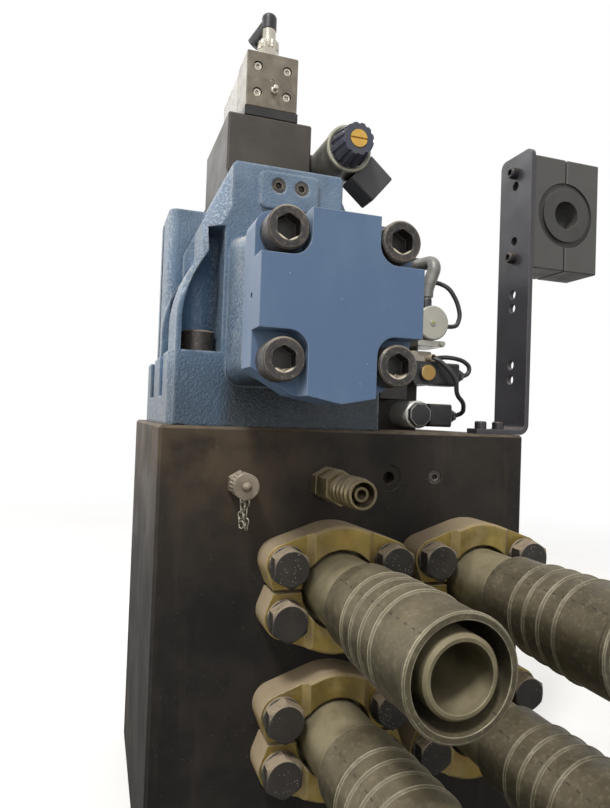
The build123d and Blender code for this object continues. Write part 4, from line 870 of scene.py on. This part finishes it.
def add_bleed_plug(material):
    """Flush plug in the threaded hole in the middle of the end cover."""
    loops = [(circle(plug_radius), 0.0), (circle(plug_radius), plug_length)]
    place = side_of("pilot_end_cover", to_front) + Vector((0, plug_length + plug_sink, 0))
    stacked("bleed_plug", material, loops, place, to_front)


def add_connector_ring(material):
    """Knurled ring of the round connector, above its hexagon."""
    knurl = circle(knurl_radius, knurl_ridges, knurl_depth)
    loops = [(knurl, 0.0), (knurl, knurl_height * 0.9), (circle(knurl_radius * 0.87), knurl_height)]
    place = side_of("round_connector", to_bottom) + Vector((0, 0, knurl_rise))
    stacked("connector_knurl", material, loops, place, to_top)


def add_test_chain(material):
    """Hanging link chain of the test point's cap."""
    top = side_of("test_cap", to_bottom) + Vector((0, chain_setback, chain_rise))
    for strand in range(chain_strands):
        start = top.x + (strand - 0.5) * chain_gap
        for n in range(chain_links):
            x = start + chain_sway * sin(chain_sway_step * n + chain_sway_shift * strand)
            place = Vector((x, top.y, top.z - (n + chain_lag * strand) * chain_step))
            tilt = radians(45 + 90 * ((n + strand) % 2))
            add_link(f"chain_link_{strand + 1}_{n + 1}", material, place, tilt)


def add_link(name, material, place, tilt):
    """One oval link of round wire that hangs from its top end."""
    curve = bpy.data.curves.new(name, "CURVE")
    curve.dimensions = "3D"
    curve.bevel_depth = link_wire
    curve.bevel_resolution = 2
    spline = curve.splines.new("POLY")
    spline.use_cyclic_u = True
    spline.points.add(link_corners - 1)
    straight = 0.5 * (link_length - link_width)
    for i in range(link_corners):
        angle = 2 * pi * i / link_corners
        across = 0.5 * link_width * cos(angle)
        rise = 0.5 * link_width * sin(angle) + (straight if sin(angle) >= 0 else -straight)
        x = place.x + across * cos(tilt)
        y = place.y + across * sin(tilt)
        spline.points[i].co = (x, y, place.z - link_length / 2 + rise, 1.0)
    curve.materials.append(material)
    piece = bpy.data.objects.new(name, curve)
    bpy.context.scene.collection.objects.link(piece)
    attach(piece, "root")


def add_coil_discs(brass, black):
    """Brass disc on the upper coil and black octagonal knob on the lower one."""
    loops = [
        (circle(disc_radius), 0.0),
        (circle(disc_radius), disc_thickness),
        (circle(disc_rim_radius), disc_thickness * 1.4),
    ]
    place = side_of("upper_coil", to_front) + Vector((0, seat_gap, 0))
    stacked("coil_disc", brass, loops, place, to_front)
    knob = circle(knob_radius, sides=8)
    loops = [(knob, 0.0), (knob, knob_length), (circle(knob_top_radius, sides=8), knob_height)]
    place = side_of("lower_coil", to_front) + Vector((0, knob_seat, 0))
    stacked("coil_knob", black, loops, place, to_front)


def add_lead_fittings(black, beige):
    """Ribbed cable glands on the two small plugs, and pale sleeves where leads leave the terminal block."""
    grip = circle(gland_radius, gland_ribs, gland_rib_depth)
    gland = [
        (grip, 0.0),
        (grip, gland_length * 0.55),
        (circle(gland_radius * 0.78), gland_length * 0.7),
        (circle(gland_radius * 0.62), gland_length),
        (circle(lead_room), gland_length),
        (circle(lead_room), 0.0),
    ]
    for name in ("upper_plug", "lower_plug"):
        place = side_of(name, to_right)
        stacked(f"{name}_gland", black, gland, place, to_right, hollow=True)
    sleeve = [
        (circle(sleeve_radius), 0.0),
        (circle(sleeve_radius), sleeve_length * 0.9),
        (circle(sleeve_radius * 0.85), sleeve_length),
        (circle(lead_room), sleeve_length),
        (circle(lead_room), 0.0),
    ]
    place = side_of("terminal_block", to_right)
    stacked("terminal_sleeve_1", beige, sleeve, place, to_right, hollow=True)
    place = side_of("terminal_block", to_front) + Vector((sleeve_shift, 0, -sleeve_drop))
    stacked("terminal_sleeve_2", beige, sleeve, place, to_front, hollow=True)


def add_elbow_ribs(material):
    """Grip ribs round the arm of the elbow plug."""
    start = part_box("elbow_plug")[1] - Vector((elbow_radius, elbow_radius, elbow_radius))
    heading = radians(elbow_arm_heading)
    drop = radians(elbow_arm_drop)
    way = Vector((cos(heading) * cos(drop), -sin(heading) * cos(drop), -sin(drop)))
    inner = circle(elbow_arm_radius * 0.97)
    rib = circle(elbow_arm_radius * 1.12)
    loops = [
        (inner, 0.0),
        (rib, elbow_rib_rise),
        (rib, elbow_rib_width - elbow_rib_rise),
        (inner, elbow_rib_width),
    ]
    for n in range(elbow_ribs):
        place = start + way * (elbow_rib_start + n * elbow_rib_pitch)
        stacked(f"elbow_rib_{n + 1}", material, loops, place, way, hollow=True)


def add_conduit_bush(material):
    """Black bush where the conduit enters the pressure switch."""
    thing = nodes["conduit"]
    foot_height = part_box("conduit")[0].z + foot_depth
    corners = [thing.matrix_world @ v.co for v in thing.data.vertices]
    foot = [corner for corner in corners if corner.z < foot_height]
    place = sum(foot, Vector()) / len(foot)
    ribbed = circle(bush_radius, gland_ribs, bush_rib_depth)
    loops = [
        (circle(bush_radius), 0.0),
        (ribbed, bush_length * 0.2),
        (ribbed, bush_length * 0.8),
        (circle(bush_radius * 0.85), bush_length),
    ]
    stacked("conduit_bush", material, loops, place, to_top)


def add_coil_highlight_ring(material):
    """Pale ring round the front edge of the side coil, a painted highlight."""
    inner = circle(highlight_ring_radius - highlight_ring_width)
    outer = circle(highlight_ring_radius)
    loops = [(inner, 0.0), (outer, 0.0), (outer, highlight_ring_depth), (inner, highlight_ring_depth)]
    place = side_of("side_coil", to_front) + Vector((0, seat_gap, 0))
    stacked("coil_highlight_ring", material, loops, place, to_front, hollow=True)


def add_switch_lens(material):
    """Small green lens in the middle of the pressure switch."""
    low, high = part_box("pressure_switch")
    place = (high.x - lens_inset, low.y + seat_gap, (low.z + high.z) / 2)
    loops = [
        (circle(lens_radius), 0.0),
        (circle(lens_radius), lens_side),
        (circle(lens_radius * 0.7), lens_height),
    ]
    stacked("switch_lens", material, loops, place, to_front)


def add_floor():
    """A pale floor under the part, which turns into the white background further out."""
    mesh = bpy.data.meshes.new("floor")
    ground = cad_box[0].z
    corners = [(x * floor_half, y * floor_half, ground) for x, y in ((-1, -1), (1, -1), (1, 1), (-1, 1))]
    mesh.from_pydata(corners, [], [(0, 1, 2, 3)])
    floor = bpy.data.objects.new("floor", mesh)
    bpy.context.scene.collection.objects.link(floor)
    look = Look("floor_pale")
    tree = look.tree
    path = tree.nodes.new("ShaderNodeLightPath")
    tone = look.mix(look.patches(3.0, 0.3, 0.7, detail=3.0), floor_grey, floor_pale)
    tone = look.mix(path.outputs["Is Camera Ray"], floor_unseen, tone)
    material = look.done(tone, 0.85)
    across = look.times(look.place(0), look.place(0))
    away = look.times(look.place(1), look.place(1))
    distance = look.maths("SQRT", look.plus(across, away))
    share = look.band(distance, floor_fade_start, floor_fade_end)
    seen = look.maths("ADD", path.outputs["Is Camera Ray"], path.outputs["Is Glossy Ray"], clamp=True)
    white = tree.nodes.new("ShaderNodeEmission")
    blend = tree.nodes.new("ShaderNodeMixShader")
    look.put(blend.inputs[0], look.times(share, seen))
    look.put(blend.inputs[1], look.shader.outputs[0])
    look.put(blend.inputs[2], white.outputs[0])
    look.put(tree.nodes["Material Output"].inputs["Surface"], blend.outputs[0])
    mesh.materials.append(material)


def add_lamps():
    """Round soft lamps that all face the part."""
    for name, (place, size, power) in lamps.items():
        lamp = bpy.data.lights.new(name, "AREA")
        lamp.shape = "DISK"
        lamp.size = size
        lamp.energy = power
        thing = bpy.data.objects.new(name, lamp)
        thing.location = place
        way = Vector(lamp_target) - Vector(place)
        thing.rotation_euler = way.to_track_quat("-Z", "Y").to_euler()
        bpy.context.scene.collection.objects.link(thing)


def add_world():
    """Pale sky, brighter overhead, which the camera, mirror reflections and glass see as plain white."""
    world = bpy.data.worlds.new("studio")
    bpy.context.scene.world = world
    world.use_nodes = True
    tree = world.node_tree
    back = tree.nodes["Background"]
    back.inputs["Color"].default_value = (1.0, 1.0, 1.0, 1.0)
    way = tree.nodes.new("ShaderNodeTexCoord")
    split = tree.nodes.new("ShaderNodeSeparateXYZ")
    tree.links.new(way.outputs["Generated"], split.inputs[0])
    sky = tree.nodes.new("ShaderNodeMapRange")
    tree.links.new(split.outputs["Z"], sky.inputs["Value"])
    sky.inputs["From Min"].default_value = sky_dim_rise
    sky.inputs["From Max"].default_value = sky_full_rise
    sky.inputs["To Min"].default_value = sky_below
    sky.inputs["To Max"].default_value = sky_above
    path = tree.nodes.new("ShaderNodeLightPath")
    seen = path.outputs["Is Camera Ray"]
    for ray in ("Is Transmission Ray", "Is Glossy Ray"):
        either = tree.nodes.new("ShaderNodeMath")
        either.operation = "MAXIMUM"
        tree.links.new(seen, either.inputs[0])
        tree.links.new(path.outputs[ray], either.inputs[1])
        seen = either.outputs[0]
    strength = tree.nodes.new("ShaderNodeMapRange")
    tree.links.new(seen, strength.inputs["Value"])
    tree.links.new(sky.outputs["Result"], strength.inputs["To Min"])
    strength.inputs["To Max"].default_value = 1.0
    tree.links.new(strength.outputs["Result"], back.inputs["Strength"])


def add_camera():
    """The camera at the photograph's place."""
    data = bpy.data.cameras.new("camera")
    data.sensor_width = sensor_mm
    data.lens = camera_focal_px / image_height_px * sensor_mm
    data.clip_start = camera_clip_start
    thing = bpy.data.objects.new("camera", data)
    turn = Matrix.Rotation(-radians(camera_yaw), 3, "Z")
    tilt = Matrix.Rotation(radians(90 + camera_pitch), 3, "X")
    lean = Matrix.Rotation(radians(camera_roll), 3, "Z")
    thing.rotation_mode = "QUATERNION"
    thing.rotation_quaternion = (turn @ tilt @ lean).to_quaternion()
    thing.location = camera_place
    bpy.context.scene.collection.objects.link(thing)
    bpy.context.scene.camera = thing


dress_casting_and_block()
dress_hose_ends()
dress_pilot_stage()
dress_small_valves()
dress_bracket()
add_pilot_screws(machined("screw_bright", "#B9B3A8", rough=0.28, metal=0.9))
add_connector_ring(machined("knurl_nickel", nickel_pale, rough=0.3, metal=0.95))
add_test_chain(machined("chain_steel", "#8C877A", rough=0.35, metal=0.85, dust=dust_pale))
coil_brass = machined("brass_disc", "#A08045", rough=0.40, metal=0.8)
add_coil_discs(coil_brass, moulded("knob_black", "#1E1E20", rough=0.35))
plug_black = moulded("gland_black", "#202023", rough=0.40)
add_lead_fittings(plug_black, moulded("sleeve_beige", "#A2957F", rough=0.5))
add_elbow_ribs(plug_black)
add_bleed_plug(machined("plug_stainless", stainless_beige, rough=0.36, metal=0.6, dust=dust_pale))
add_conduit_bush(plug_black)
add_coil_highlight_ring(moulded("highlight_ring_pale", "#A8A793", rough=0.45, amount=0.2))
add_switch_lens(moulded("lens_green", "#9C9A4C", rough=0.25, amount=0.1))
add_floor()
add_world()
add_lamps()
add_camera()
bpy.context.scene.view_settings.view_transform = "Standard"
